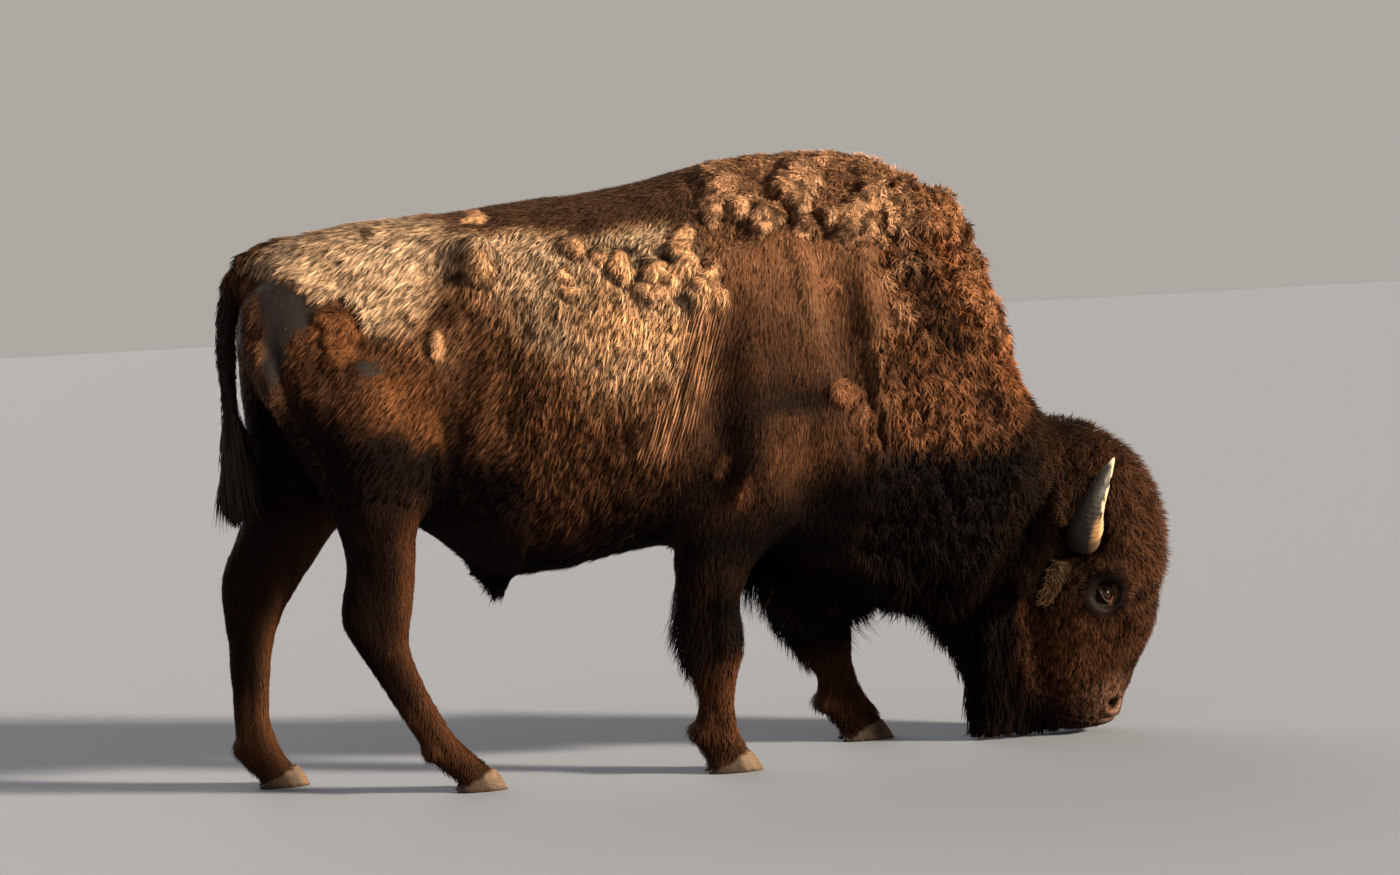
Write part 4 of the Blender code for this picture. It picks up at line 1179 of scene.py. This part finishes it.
def tuft_tree():
    """Grows a bent, tapered tuft at random points of the skin, thick or sparse as hair_tufts says."""
    tree = bpy.data.node_groups.new("grow_tufts", "GeometryNodeTree")
    tree.interface.new_socket("Geometry", in_out="OUTPUT", socket_type="NodeSocketGeometry")
    kinds = {"Skin": "Geometry", "Tuft": "Object", **dict.fromkeys(LOCK_INPUTS + TUFT_INPUTS, "Float")}
    kinds |= {"Seed": "Int", "Coat Material": "Material"}
    keys = {
        name: tree.interface.new_socket(name, in_out="INPUT", socket_type="NodeSocket" + kind).identifier
        for name, kind in kinds.items()
    }
    bench = Nodes(tree)
    given = bench.add("NodeGroupInput").outputs
    size, slimness, slant, clump_rise, contrast, shades, thickness, roundness = (
        Number(bench, given[name]) for name in LOCK_INPUTS + TUFT_INPUTS
    )
    scattered = bench.add(
        "GeometryNodeDistributePointsOnFaces", {"distribute_method": "RANDOM"},
        Mesh=given["Skin"], Density=bench.named("hair_tufts"), Seed=given["Seed"],
    ).outputs["Points"]
    points = bench.stored(scattered, "tuft_root", bench.add("GeometryNodeInputPosition").outputs[0])
    chance = bench.add("FunctionNodeRandomValue", {"data_type": "FLOAT_VECTOR"}, Seed=given["Seed"])
    points = bench.stored(points, "tuft_chance", chance.outputs[0])
    tuft = bench.add("GeometryNodeObjectInfo", None, As_Instance=True, Object=given["Tuft"])
    tuft = tuft.outputs["Geometry"]
    placed = bench.add("GeometryNodeInstanceOnPoints", None, Points=points, Instance=tuft).outputs[0]
    grown = bench.add("GeometryNodeRealizeInstances", None, Geometry=placed).outputs[0]

    # The tuft's own shape says across, through and along; the skin's recipe says where those point.
    across, through, along = bench.parts(bench.arrow("tuft_shape"))
    luck_a, luck_b, luck_c = bench.parts(bench.arrow("tuft_chance"))
    root = bench.arrow("tuft_root")
    outward = bench.arrow("skin_outward").by("NORMALIZE")
    lie = bench.arrow("hair_lie")
    curl, streak = bench.named("hair_curl"), bench.named("hair_streak")
    lie = (lie + outward.square_to(lie) * ((luck_b - 0.5) * curl * 1.4)).by("NORMALIZE")
    aside = outward.square_to(lie)
    # No two tufts are as long, as wide or as steep as each other, and each droops and curls towards its tip.
    length = bench.named("hair_length") * (luck_a * 0.8 + 0.6)
    width = bench.named("hair_width") * (luck_c * 0.7 + 0.65)
    lift = bench.named("hair_lift") * (luck_b + 0.5)
    squared = along * along
    rise = lift.by("SINE") * (along - squared * 0.45) * length + (width * 0.25 - 0.0008)
    reach = lift.by("COSINE") * along * length
    turns = along * 7.5 + luck_c * FULL_TURN
    wave = turns.by("SINE") * (along * length) * (curl * 0.15)
    bob = turns.by("COSINE") * (along * length) * (curl * 0.10)
    sideways = across * width + wave
    thick = through * thickness * width + (rise + bob)

    # Tips draw together at the middle of their lock. Locks lean and stretch with the lie.
    slimness = slimness * (streak * -0.8 + 1.0)
    root_x, root_y, root_z = bench.parts(root)
    cell = bench.add(
        "ShaderNodeTexVoronoi", {"voronoi_dimensions": "3D", "feature": "F1"},
        Vector=bench.point(root_x - root_z * slant, root_y, root_z * slimness),
        Scale=bench.number("DIVIDE", 1.0, size),
    ).outputs
    cell_x, cell_y, cell_z = bench.parts(cell["Position"])
    middle_z = cell_z / slimness
    middle = bench.point(middle_z * slant + cell_x, cell_y, middle_z)
    edge = Number(bench, cell["Distance"]) / CLUMP_REACH
    dome = bench.number("SUBTRACT", 1.0, edge * edge).by("MAXIMUM", -0.3) * (along * 0.75 + 0.25)
    thick = dome * clump_rise + thick
    pull = middle - root
    pull = pull - outward * pull.dot(outward)
    pull = pull - lie * (pull.dot(lie) * 0.8)
    hollow = pull * (clump_rise / (size * size) * -2.4)
    pull = pull * (squared * bench.named("hair_clumping"))
    # Where the hair is combed, it stands in narrow ribs side by side.
    rib_place = (root_z * -RIB_SLANT + root_x) * (2 * math.pi / RIB_WIDTH)
    rib = rib_place.by("SINE") * streak
    thick = rib * 0.0018 + thick
    forward = bench.point(rib_place.by("COSINE") * streak * -0.8)
    facing = outward + aside * (across * roundness) + hollow + forward + lie * (lift.by("SINE") * -0.35)
    # Nothing reaches into the floor.
    x, y, z = bench.parts(root + lie * reach + aside * sideways + outward * thick + pull)
    kept = bench.point(x, y, z.by("MAXIMUM", luck_a * 0.006 + 0.002))
    grown = bench.add("GeometryNodeSetPosition", None, Geometry=grown, Position=kept).outputs[0]
    # Soft fur takes the light as the coat under it does, and not as hard little cones.
    soft = {"mode": "FREE", "domain": "POINT"}
    facing = facing.by("NORMALIZE")
    grown = bench.add("GeometryNodeSetMeshNormal", soft, Mesh=grown, Custom_Normal=facing).outputs[0]

    # Roots are darker and tips paler, partly as painted shade deep in the coat; lock edges are painted darker
    # as shade, and combed ribs paler on their crests and darker in their grooves as painted light and shade;
    # and each lock and each tuft differs a little from the next.
    lock_luck = bench.parts(cell["Color"])[0] - 0.5
    lock_shade = lock_luck * (contrast * 0.7) + 1.10 - edge.by("POWER", 3.0) * contrast
    shade = ((luck_a - 0.5) * 0.24 + 1.0) * (rib * 0.34 + 1.0) * lock_shade.by("MAXIMUM", 0.2)
    shade = shade * ((along - 0.5) * shades + 1.0)
    grown = bench.stored(grown, "coat_tone", bench.arrow("hair_tone", "FLOAT_COLOR") * shade, "FLOAT_COLOR")
    spot = bench.arrow("skin_map") + bench.point(across * 0.5, along) * MAP_PATCH
    grown = bench.stored(grown, "OFBake", spot, "FLOAT2", "CORNER")
    for name in CARRIED:
        grown = bench.add("GeometryNodeRemoveAttribute", None, Geometry=grown, Name=name).outputs[0]
    grown = bench.add("GeometryNodeSetShadeSmooth", None, Geometry=grown).outputs[0]
    dress = {"Geometry": grown, "Material": given["Coat Material"]}
    grown = bench.add("GeometryNodeSetMaterial", None, **dress).outputs[0]
    bench.feed(bench.add("NodeGroupOutput").inputs[0], grown)
    return tree, keys


def tuft_shape(name, levels):
    """A closed three-sided lock from root to tip: each level gives how far along and how wide it is."""
    mesh = bmesh.new()
    tip = mesh.verts.new((0, 0, 1))
    rings = [
        [mesh.verts.new((x * wide * 0.5, y * wide * 0.5, along)) for x, y in ((-1, -0.5), (1, -0.5), (0, 1))]
        for along, wide in levels
    ]
    pointed = levels[0][0] > 0
    root = mesh.verts.new((0, 0, 0)) if pointed else mesh.faces.new(rings[0])
    for i in range(3):
        j = (i + 1) % 3
        if pointed:
            mesh.faces.new((root, rings[0][j], rings[0][i]))
        for low, high in zip(rings, rings[1:], strict=False):
            mesh.faces.new((low[i], low[j], high[j], high[i]))
        mesh.faces.new((rings[-1][i], rings[-1][j], tip))
    bmesh.ops.recalc_face_normals(mesh, faces=mesh.faces)
    tuft = solid(name, mesh)
    put(tuft.data, "tuft_shape", "FLOAT_VECTOR", places_of(tuft.data))
    return tuft


def coat_ground(skin, name, wanted_point):
    """The part of the skin that one coat piece grows from, with its own unwrap."""
    mesh = bmesh.new()
    mesh.from_mesh(skin.data)
    unwanted = [face for face in mesh.faces if not wanted_point[min(vertex.index for vertex in face.verts)]]
    bmesh.ops.delete(mesh, geom=unwanted, context="FACES")
    ground = solid(name, mesh)
    ground.data.uv_layers.new(name="skin_map")
    bpy.ops.object.select_all(action="DESELECT")
    ground.select_set(True)
    bpy.context.view_layer.objects.active = ground
    bpy.ops.object.mode_set(mode="EDIT")
    bpy.ops.mesh.select_all(action="SELECT")
    bpy.ops.uv.smart_project(angle_limit=math.radians(60), island_margin=0.004)
    bpy.ops.object.mode_set(mode="OBJECT")
    return ground


TUFTS = {  # how wide the tuft is along its length, its thickness and its roundness in the light
    "spike": (((0.0, 1.0),), 0.15, 0.45),
    "bent": (((0.32, 1.0),), 0.30, 0.80),
    "curled": (((0.28, 0.95), (0.66, 0.80)), 0.42, 1.10),
}
COAT_PIECES = {  # how many pieces; size, slimness, slant, rise and contrast of locks; range of shades; tuft
    "ears": (1, 0.020, 1.0, 0.0, 0.003, 0.40, 0.6, "bent"),
    "tail": (1, 0.020, 0.3, 0.0, 0.002, 0.40, 0.5, "curled"),
    "beard": (1, 0.036, 0.4, 0.1, 0.006, 0.50, 0.6, "curled"),
    "crown": (1, 0.022, 0.8, 0.0, 0.004, 0.55, 0.8, "bent"),
    "face": (2, 0.016, 0.7, 0.1, 0.003, 0.55, 0.7, "bent"),
    "forelegs": (1, 0.016, 0.3, 0.1, 0.002, 0.22, 0.5, "bent"),
    "hindlegs": (1, 0.014, 0.3, 0.1, 0.001, 0.12, 0.5, "spike"),
    "mane": (2, 0.022, 0.7, 0.1, 0.009, 0.90, 0.8, "bent"),
    "hump": (1, 0.018, 0.8, 0.2, 0.004, 0.55, 0.6, "bent"),
    "rump": (2, 0.014, 0.45, 0.9, 0.006, 0.95, 0.6, "spike"),
    "shoulders": (2, 0.009, 0.35, 0.2, 0.0020, 0.60, 0.6, "spike"),
    "flanks": (2, 0.0098, 0.34, 0.34, 0.0060, 1.15, 0.7, "spike"),
}


def grow_coat(skin, zone_of_point, side_of_point, material):
    tree, keys = tuft_tree()
    shapes = {name: tuft_shape(name + "_tuft", levels) for name, (levels, _, _) in TUFTS.items()}
    pieces = []
    for number, (zone, (count, *locks, shape)) in enumerate(COAT_PIECES.items()):
        for side, suffix in ((RIGHT, "_right"), (LEFT, "_left")) if count == 2 else ((0, ""),):
            wanted = (zone_of_point == number) & ((side_of_point == side) | (side == 0))
            ground = coat_ground(skin, "coat_" + zone + suffix, wanted)
            growing = ground.modifiers.new("grow", "NODES")
            growing.node_group = tree
            settings = dict(zip(LOCK_INPUTS + TUFT_INPUTS, (*locks, *TUFTS[shape][1:]), strict=True))
            settings |= {"Tuft": shapes[shape], "Seed": 101 + 2 * number + side, "Coat Material": material}
            for name, value in settings.items():
                growing[keys[name]] = value
            pieces.append(baked(ground))
    for shape in shapes.values():
        bpy.data.objects.remove(shape)
    return pieces


# ---- horns, hooves and eyes

HORN_PATH = (  # x, distance from the middle, z and radius, from the root to the tip
    (1.078, 0.145, 0.586, 0.050), (1.072, 0.175, 0.592, 0.049), (1.064, 0.215, 0.608, 0.0465),
    (1.060, 0.255, 0.642, 0.0425), (1.070, 0.280, 0.690, 0.0355), (1.092, 0.285, 0.738, 0.0265),
    (1.119, 0.276, 0.782, 0.0160), (1.145, 0.262, 0.820, 0.0040),
)
HORN_GREY = (0.016, 0.0115, 0.0085)
HORN_PALE = (0.56, 0.41, 0.25)
HORN_BASE = (0.47, 0.245, 0.098)
HOOF_TAN = (0.120, 0.068, 0.037)
HOOF_DARK = (0.020, 0.012, 0.008)
HORN_RING_SPACING, HOOF_RING_SPACING = 0.0125, 0.0085
RINGS, ROUND = 90, 40  # rings of points along a horn, and points in each ring


def curve_through(rows, count):
    """Points spread evenly along a smooth curve through the rows."""
    rows = np.array(rows)
    padded = np.vstack([2 * rows[0] - rows[1], rows, 2 * rows[-1] - rows[-2]])
    fine = []
    for a, b, c, d in zip(padded, padded[1:], padded[2:], padded[3:], strict=False):
        bend, twist = 2 * a - 5 * b + 4 * c - d, 3 * b - a - 3 * c + d
        for t in np.linspace(0, 1, 40, endpoint=False):
            fine.append(0.5 * (2 * b + (c - a) * t + bend * t**2 + twist * t**3))
    fine = np.array([*fine, rows[-1]])
    run = np.concatenate([[0], np.cumsum(np.linalg.norm(np.diff(fine[:, :3], axis=0), axis=1))])
    even = np.linspace(0, run[-1], count)
    return np.stack([np.interp(even, run, fine[:, i]) for i in range(rows.shape[1])], axis=1), even


def horn(side):
    """A horn with growth rings at its root, a pale front edge, partly worn and partly a painted highlight,
    and a chip in it.
    """
    rows = [(x, side * y, z, radius) for x, y, z, radius in HORN_PATH]
    path, run = curve_through(rows, RINGS)
    share = run / run[-1]
    heading = unit(np.gradient(path[:, :3], axis=0))
    first = unit(np.cross(heading[0], (1.0, 0.0, 0.0)))
    places, tones = [], []
    turn = np.linspace(0, 2 * math.pi, ROUND, endpoint=False)
    for i in range(RINGS):
        first = unit(first - heading[i] * (first @ heading[i]))
        second = np.cross(heading[i], first)
        around = np.outer(np.cos(turn), first) + np.outer(np.sin(turn), second)
        frontward = around @ np.array((0.93, -0.10 * side, -0.25))
        radius = np.full(ROUND, path[i, 3])
        radius *= 1 - 0.06 * ease(np.abs(around @ np.array((0.3, side, 0.3))), 0.5, 1.0)
        spot = path[i, :3] + around * path[i, 3]
        ridge = ripples(run[i], HORN_RING_SPACING, 1.2 * cloudy(spot, 0.03, 91))
        radius += 0.0011 * ridge * ease(share[i], 0.75, 0.35)
        radius += 0.0010 * cloudy(spot, (0.006, 0.006, 0.05), 92) * ease(share[i], 1.0, 0.7)
        radius += 0.0045 * ease(frontward, 0.2, 0.8) * ease(share[i], 0.50, 0.36) * ease(share[i], 0.2, 0.3)
        chip = ease(np.abs(share[i] - 0.80), 0.045, 0.015) * ease(frontward, 0.55, 0.80)
        radius -= 0.0045 * chip
        streaky = 0.22 * cloudy(spot, 0.016, 93) + 0.16 * cloudy(spot, (0.006, 0.006, 0.03), 90)
        # The pale front edge is partly worn horn and partly a painted highlight on the side that faces the
        # light.
        worn_and_lit = ease(frontward + streaky + 0.55 * (share[i] - 0.66), 0.34, 0.60)
        worn_and_lit = np.maximum(worn_and_lit, ease(share[i], 0.90, 0.97))
        root = ease(share[i], 0.52, 0.40) * ease(frontward, 0.0, 0.45) * (0.75 + 0.3 * cloudy(spot, 0.01, 89))
        tone = np.array([HORN_GREY]) * (1 + 0.35 * cloudy(spot, (0.008, 0.008, 0.06), 94))[:, None]
        for colour, cover in (
            (HORN_PALE, worn_and_lit), (HORN_BASE, root * 0.9), (toned(HORN_GREY, 0.8), chip * 0.7),
            (toned(HORN_GREY, 0.5), np.full(ROUND, 0.8 * ease(share[i], 0.30, 0.24))),
        ):
            tone = mixed(tone, colour, cover)
        places.append(path[i, :3] + around * radius[:, None])
        tones.append(tone)
    mesh = bmesh.new()
    rings = [[mesh.verts.new(point) for point in ring] for ring in places]
    for low, high in zip(rings, rings[1:], strict=False):
        for k in range(ROUND):
            mesh.faces.new((low[k], low[(k + 1) % ROUND], high[(k + 1) % ROUND], high[k]))
    root = mesh.verts.new(places[0].mean(axis=0))
    tip = mesh.verts.new(path[-1, :3] + heading[-1] * 0.004)
    for k in range(ROUND):
        mesh.faces.new((root, rings[0][(k + 1) % ROUND], rings[0][k]))
        mesh.faces.new((tip, rings[-1][k], rings[-1][(k + 1) % ROUND]))
    bmesh.ops.recalc_face_normals(mesh, faces=mesh.faces)
    made = solid("horn_sheath_right" if side == RIGHT else "horn_sheath_left", mesh, rounded=True)
    put(made.data, "horn_tone", "FLOAT_COLOR", np.concatenate([*tones, tones[0][:1], [HORN_PALE]]))
    return made


def hoof_piece(name, nodes, voxel, tan, bright):
    """Claws worn round, with growth rings round them, fronts tan partly as painted light, and flat soles on
    the floor.
    """
    piece = flesh_shell(nodes, name)
    remesh(piece, voxel)
    smooth(piece, 5)
    mesh = piece.data
    places, normals = places_of(mesh), normals_of(mesh)
    level = places[:, 2] + 0.30 * places[:, 0]
    rings = ripples(level, HOOF_RING_SPACING, 2.0 * cloudy(places, 0.03, 95))
    rough = 0.0006 * rings + 0.0008 * cloudy(places, (0.008, 0.008, 0.02), 96)
    wall = ease(normals[:, 2], -0.8, -0.4) * ease(places[:, 2], 0.002, 0.008)
    places = places + normals * (rough * wall - 0.0008)[:, None]
    chipped = 0.0035 * ease(cloudy(places, 0.012, 97), 0.3, 0.9) * ease(places[:, 2], 0.014, 0.004)
    places = places - normals * np.array((1, 1, 0)) * chipped[:, None]
    covered = ease(over_hoof(Places(places, normals)), -0.004, 0.008) * (places[:, 2] > 0.004)
    places = places - normals * (0.0105 * covered)[:, None]  # it goes under the hair of the foot
    sole = places[:, 2] < 0.0022
    places[sole, 2] = 0.0
    put_places(mesh, places)
    # The fronts of the claws are tan: partly their colour, partly painted sunlight on the side that faces the
    # light.
    tan_and_lit_toe = 0.18 + 0.82 * ease(normals[:, 0] + 0.35 * cloudy(places, 0.04, 98), 0.05, 0.75)
    tan_and_lit_toe = tan_and_lit_toe * ease(normals[:, 0], -0.95, -0.6) * ease(places[:, 2], 0.090, 0.075)
    tone = mixed(np.array([HOOF_DARK]), HOOF_TAN, tan_and_lit_toe * tan)
    tone = mixed(tone, HOOF_DARK, ease(rings, 0.3, 1.0) * 0.35)
    tone = mixed(tone, HOOF_DARK, ease(places[:, 2], 0.010, 0.002) * 0.5)
    put(mesh, "hoof_tone", "FLOAT_COLOR", tone * bright * (1 + 0.2 * cloudy(places, 0.015, 99))[:, None])
    shade_smooth(mesh)
    return piece


def eyeballs():
    """Both eyeballs, each point of which knows where it lies from the middle of the iris."""
    axis, slit, cheekward = eye_frame()
    mesh = bmesh.new()
    gaze = []
    for side in (RIGHT, LEFT):
        flip = np.array((1, side, 1))
        ball = bmesh.ops.create_uvsphere(mesh, u_segments=64, v_segments=40, radius=1)
        for vertex in ball["verts"]:
            local = np.array(vertex.co)
            bulge = 1 + 0.05 * ease(np.array([local[2]]), 0.75, 0.92)[0]
            point = slit * local[0] + cheekward * local[1] + axis * local[2] * bulge
            vertex.co = (np.array(EYE) + point * EYEBALL) * flip
            gaze.append(local)
    bmesh.ops.recalc_face_normals(mesh, faces=mesh.faces)
    balls = solid("eyeballs", mesh, rounded=True)
    put(balls.data, "gaze", "FLOAT_VECTOR", np.array(gaze))
    return balls


# ---- materials

class Finish(Nodes):
    """A new material, with its shader and a few ways to add nodes."""

    def __init__(self, name, roughness, **sockets):
        self.material = bpy.data.materials.new(name)
        self.material.use_nodes = True
        super().__init__(self.material.node_tree)
        self.shader = self.tree.nodes["Principled BSDF"].inputs
        for key, value in {"Roughness": roughness, **sockets}.items():
            self.feed(self.shader[key.replace("_", " ")], value)

    def grain(self, scale, stretch=(1, 1, 1), detail=4.0, roughness=0.6):
        """Noise on the piece's own coordinates, stretched along an axis by a small number."""
        place = self.add("ShaderNodeTexCoord").outputs["Object"]
        place = self.add("ShaderNodeMapping", None, Vector=place, Scale=stretch).outputs[0]
        inputs = {"Scale": scale, "Detail": detail, "Roughness": roughness}
        return self.add("ShaderNodeTexNoise", None, Vector=place, **inputs).outputs["Fac"]

    def span(self, value, low, high, start=0.0, end=1.0):
        """A number that goes from low to high while the value goes from start to end."""
        ends = {"From_Min": start, "From_Max": end, "To_Min": low, "To_Max": high}
        return self.add("ShaderNodeMapRange", None, Value=value, **ends).outputs[0]

    def between(self, share, first, second, colours=False):
        """A number between two numbers, or a colour between two colours."""
        made = self.add("ShaderNodeMix", {"data_type": "RGBA" if colours else "FLOAT"})
        start = 6 if colours else 2
        for slot, value in ((0, share), (start, first), (start + 1, second)):
            self.feed(made.inputs[slot], value)
        return made.outputs[2 if colours else 0]

    def attribute(self, name, output="Color"):
        return self.add("ShaderNodeAttribute", {"attribute_name": name}).outputs[output]

    def bump(self, height, distance, strength=1.0):
        made = self.add("ShaderNodeBump", None, Height=height, Distance=distance, Strength=strength)
        self.feed(self.shader["Normal"], made.outputs[0])

    def shaded(self, colour, by):
        """A colour made lighter or darker by a number."""
        return Arrow(self, colour) * by

    def finished(self, colour, roughness=None):
        self.feed(self.shader["Base Color"], colour)
        if roughness is not None:
            self.feed(self.shader["Roughness"], roughness)
        return self.material


def grained(name, roughness, gloss, grain, relief, shades, rough=None):
    """A material whose grain shows in its relief, in the shade of its colour and in its gloss."""
    finish = Finish(name, roughness, Specular_IOR_Level=gloss)
    grains = finish.grain(*grain)
    finish.bump(grains, *relief)
    colour = finish.shaded(finish.attribute(name + "_tone"), finish.span(grains, *shades))
    return finish.finished(colour, finish.span(grains, *rough) if rough else None)


def skin_material():
    """Short underhair where the coat grows, and fine leathery skin where it doesn't."""
    finish = Finish("skin", 0.7, Specular_IOR_Level=0.05)
    hairs = finish.grain(300.0, (1.0, 1.0, 0.22), 4.0)
    leather = finish.grain(160.0, (1.0, 1.0, 1.0), 6.0, 0.7)
    bare = finish.attribute("bare_share", "Fac")
    finish.bump(finish.between(bare, hairs, leather), 0.0016, 0.7)
    shade = finish.between(bare, finish.span(hairs, 0.45, 1.55), finish.span(leather, 0.7, 1.3))
    colour = finish.shaded(finish.attribute("skin_tone"), shade)
    return finish.finished(colour, finish.between(bare, 0.80, 0.55))


def eye_material():
    """Dark brown iris with a wide level pupil, under a wet clear front."""
    finish = Finish("eye", 0.10, Specular_IOR_Level=0.16, Coat_Weight=0.10, Coat_Roughness=0.03)
    across, up, _ = finish.parts(finish.attribute("gaze", "Vector"))
    pupil, iris = (
        finish.reckon("ShaderNodeVectorMath", "LENGTH", finish.point(wide, up))[1]
        for wide in (across * 0.55, across)
    )
    brown = finish.shaded((0.013, 0.006, 0.003), finish.span(finish.grain(500.0), 0.5, 1.5))
    colour = finish.between(finish.span(pupil, 0.0, 1.0, 0.24, 0.30), (0.002, 0.002, 0.002, 1), brown, True)
    white = (0.016, 0.009, 0.006, 1)
    return finish.finished(finish.between(finish.span(iris, 0.0, 1.0, 0.66, 0.74), colour, white, True))


# ---- the stage

def aimed(name, lamp, direction):
    made = link(name, lamp)
    made.rotation_euler = direction.to_track_quat("-Z", "Y").to_euler()
    return made


def make_stage():
    mesh = bmesh.new()
    bmesh.ops.create_grid(mesh, x_segments=1, y_segments=1, size=60)
    floor = solid("floor", mesh)
    finish = Finish("floor_paper", 0.9, Base_Color=(0.220, 0.235, 0.273, 1), Specular_IOR_Level=0.05)
    floor.data.materials.append(finish.material)

    world = bpy.data.worlds.new("studio")
    bpy.context.scene.world = world
    world.use_nodes = True
    sky = world.node_tree.nodes["Background"].inputs
    sky["Color"].default_value = (1.0, 0.94, 0.87, 1)
    sky["Strength"].default_value = 0.42
    for name, strength, angle, colour, direction in (
        ("key", 12.0, 6, (1.0, 0.86, 0.66), (-0.80, 0.50, -0.34)),
        ("back", 2.2, 60, (1.0, 0.95, 0.88), (0.45, -0.85, -0.42)),
    ):
        sun = bpy.data.lights.new(name, "SUN")
        sun.energy, sun.angle, sun.color = strength, math.radians(angle), colour
        aimed(name, sun, Vector(direction))
    fill = bpy.data.lights.new("fill", "AREA")
    fill.size, fill.energy, fill.color = 4.0, 30, (1.0, 0.96, 0.90)
    place = Vector((-4.5, -4.5, 3.0))
    aimed("fill", fill, Vector((0, 0, 0.9)) - place).location = place


def make_camera():
    bearing, rise, roll = CAMERA_BEARING, CAMERA_RISE, CAMERA_ROLL
    back = Vector((math.sin(bearing) * math.cos(rise), -math.cos(bearing) * math.cos(rise), math.sin(rise)))
    right = (-back).cross(Vector((0, 0, 1))).normalized()
    up = right.cross(-back)
    across = right * math.cos(roll) + up * math.sin(roll)
    upward = up * math.cos(roll) - right * math.sin(roll)
    camera = bpy.data.cameras.new("camera")
    camera.sensor_width, camera.lens = 36, CAMERA_LENS
    stand = link("camera", camera)
    placed = Matrix((across, upward, back)).transposed().to_4x4()
    placed.translation = Vector(CAMERA_TARGET) + back * CAMERA_DISTANCE
    stand.matrix_world = placed
    bpy.context.scene.camera = stand
    bpy.context.scene.view_settings.view_transform = "Standard"


# ---- putting it together

def dressed(piece, material, slot, *nodes):
    piece.data.materials.clear()
    piece.data.materials.append(material)
    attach(piece, "root")
    if nodes:
        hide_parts(*nodes)


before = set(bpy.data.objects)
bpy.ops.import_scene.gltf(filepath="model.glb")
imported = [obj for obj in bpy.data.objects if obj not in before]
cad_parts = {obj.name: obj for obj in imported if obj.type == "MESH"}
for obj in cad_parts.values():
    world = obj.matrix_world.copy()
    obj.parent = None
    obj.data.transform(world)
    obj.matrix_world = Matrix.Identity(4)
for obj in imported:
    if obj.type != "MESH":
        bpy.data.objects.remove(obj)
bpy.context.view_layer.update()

skin, features = make_skin()
zone_of_point, side_of_point = write_recipe(skin, features)
fur = grained("coat", 0.65, 0.02, (420.0, (1.0, 1.0, 0.35), 3.0), (0.0012, 0.6), (0.5, 1.5))
dressed(skin, skin_material(), "coat", *FLESH, *EARS)
for piece in grow_coat(skin, zone_of_point, side_of_point, fur):
    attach(piece, "root")
keratin = grained("horn", 0.5, 0.35, (220.0, (1.0, 1.0, 0.12), 5.0), (0.0010, 0.5), (0.55, 1.45), (0.4, 0.7))
dressed(horn(RIGHT), keratin, "horn", "horn_right")
dressed(horn(LEFT), keratin, "horn", "horn_left")
hoof = grained("hoof", 0.6, 0.2, (260.0, (1.0, 1.0, 0.5), 6.0, 0.7), (0.0010, 0.6), (0.5, 1.5), (0.45, 0.85))
claws = [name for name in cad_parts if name.startswith("claw")]
dewclaws = [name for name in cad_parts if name.startswith("dewclaw")]
dressed(hoof_piece("hooves", claws, HOOF_VOXEL, tan=1.0, bright=1.0), hoof, "hoof", *claws)
dressed(hoof_piece("dew_hooves", dewclaws, DEWCLAW_VOXEL, tan=0.0, bright=0.4), hoof, "hoof", *dewclaws)
dressed(eyeballs(), eye_material(), "eye", "eye_right", "eye_left")
make_stage()
make_camera()
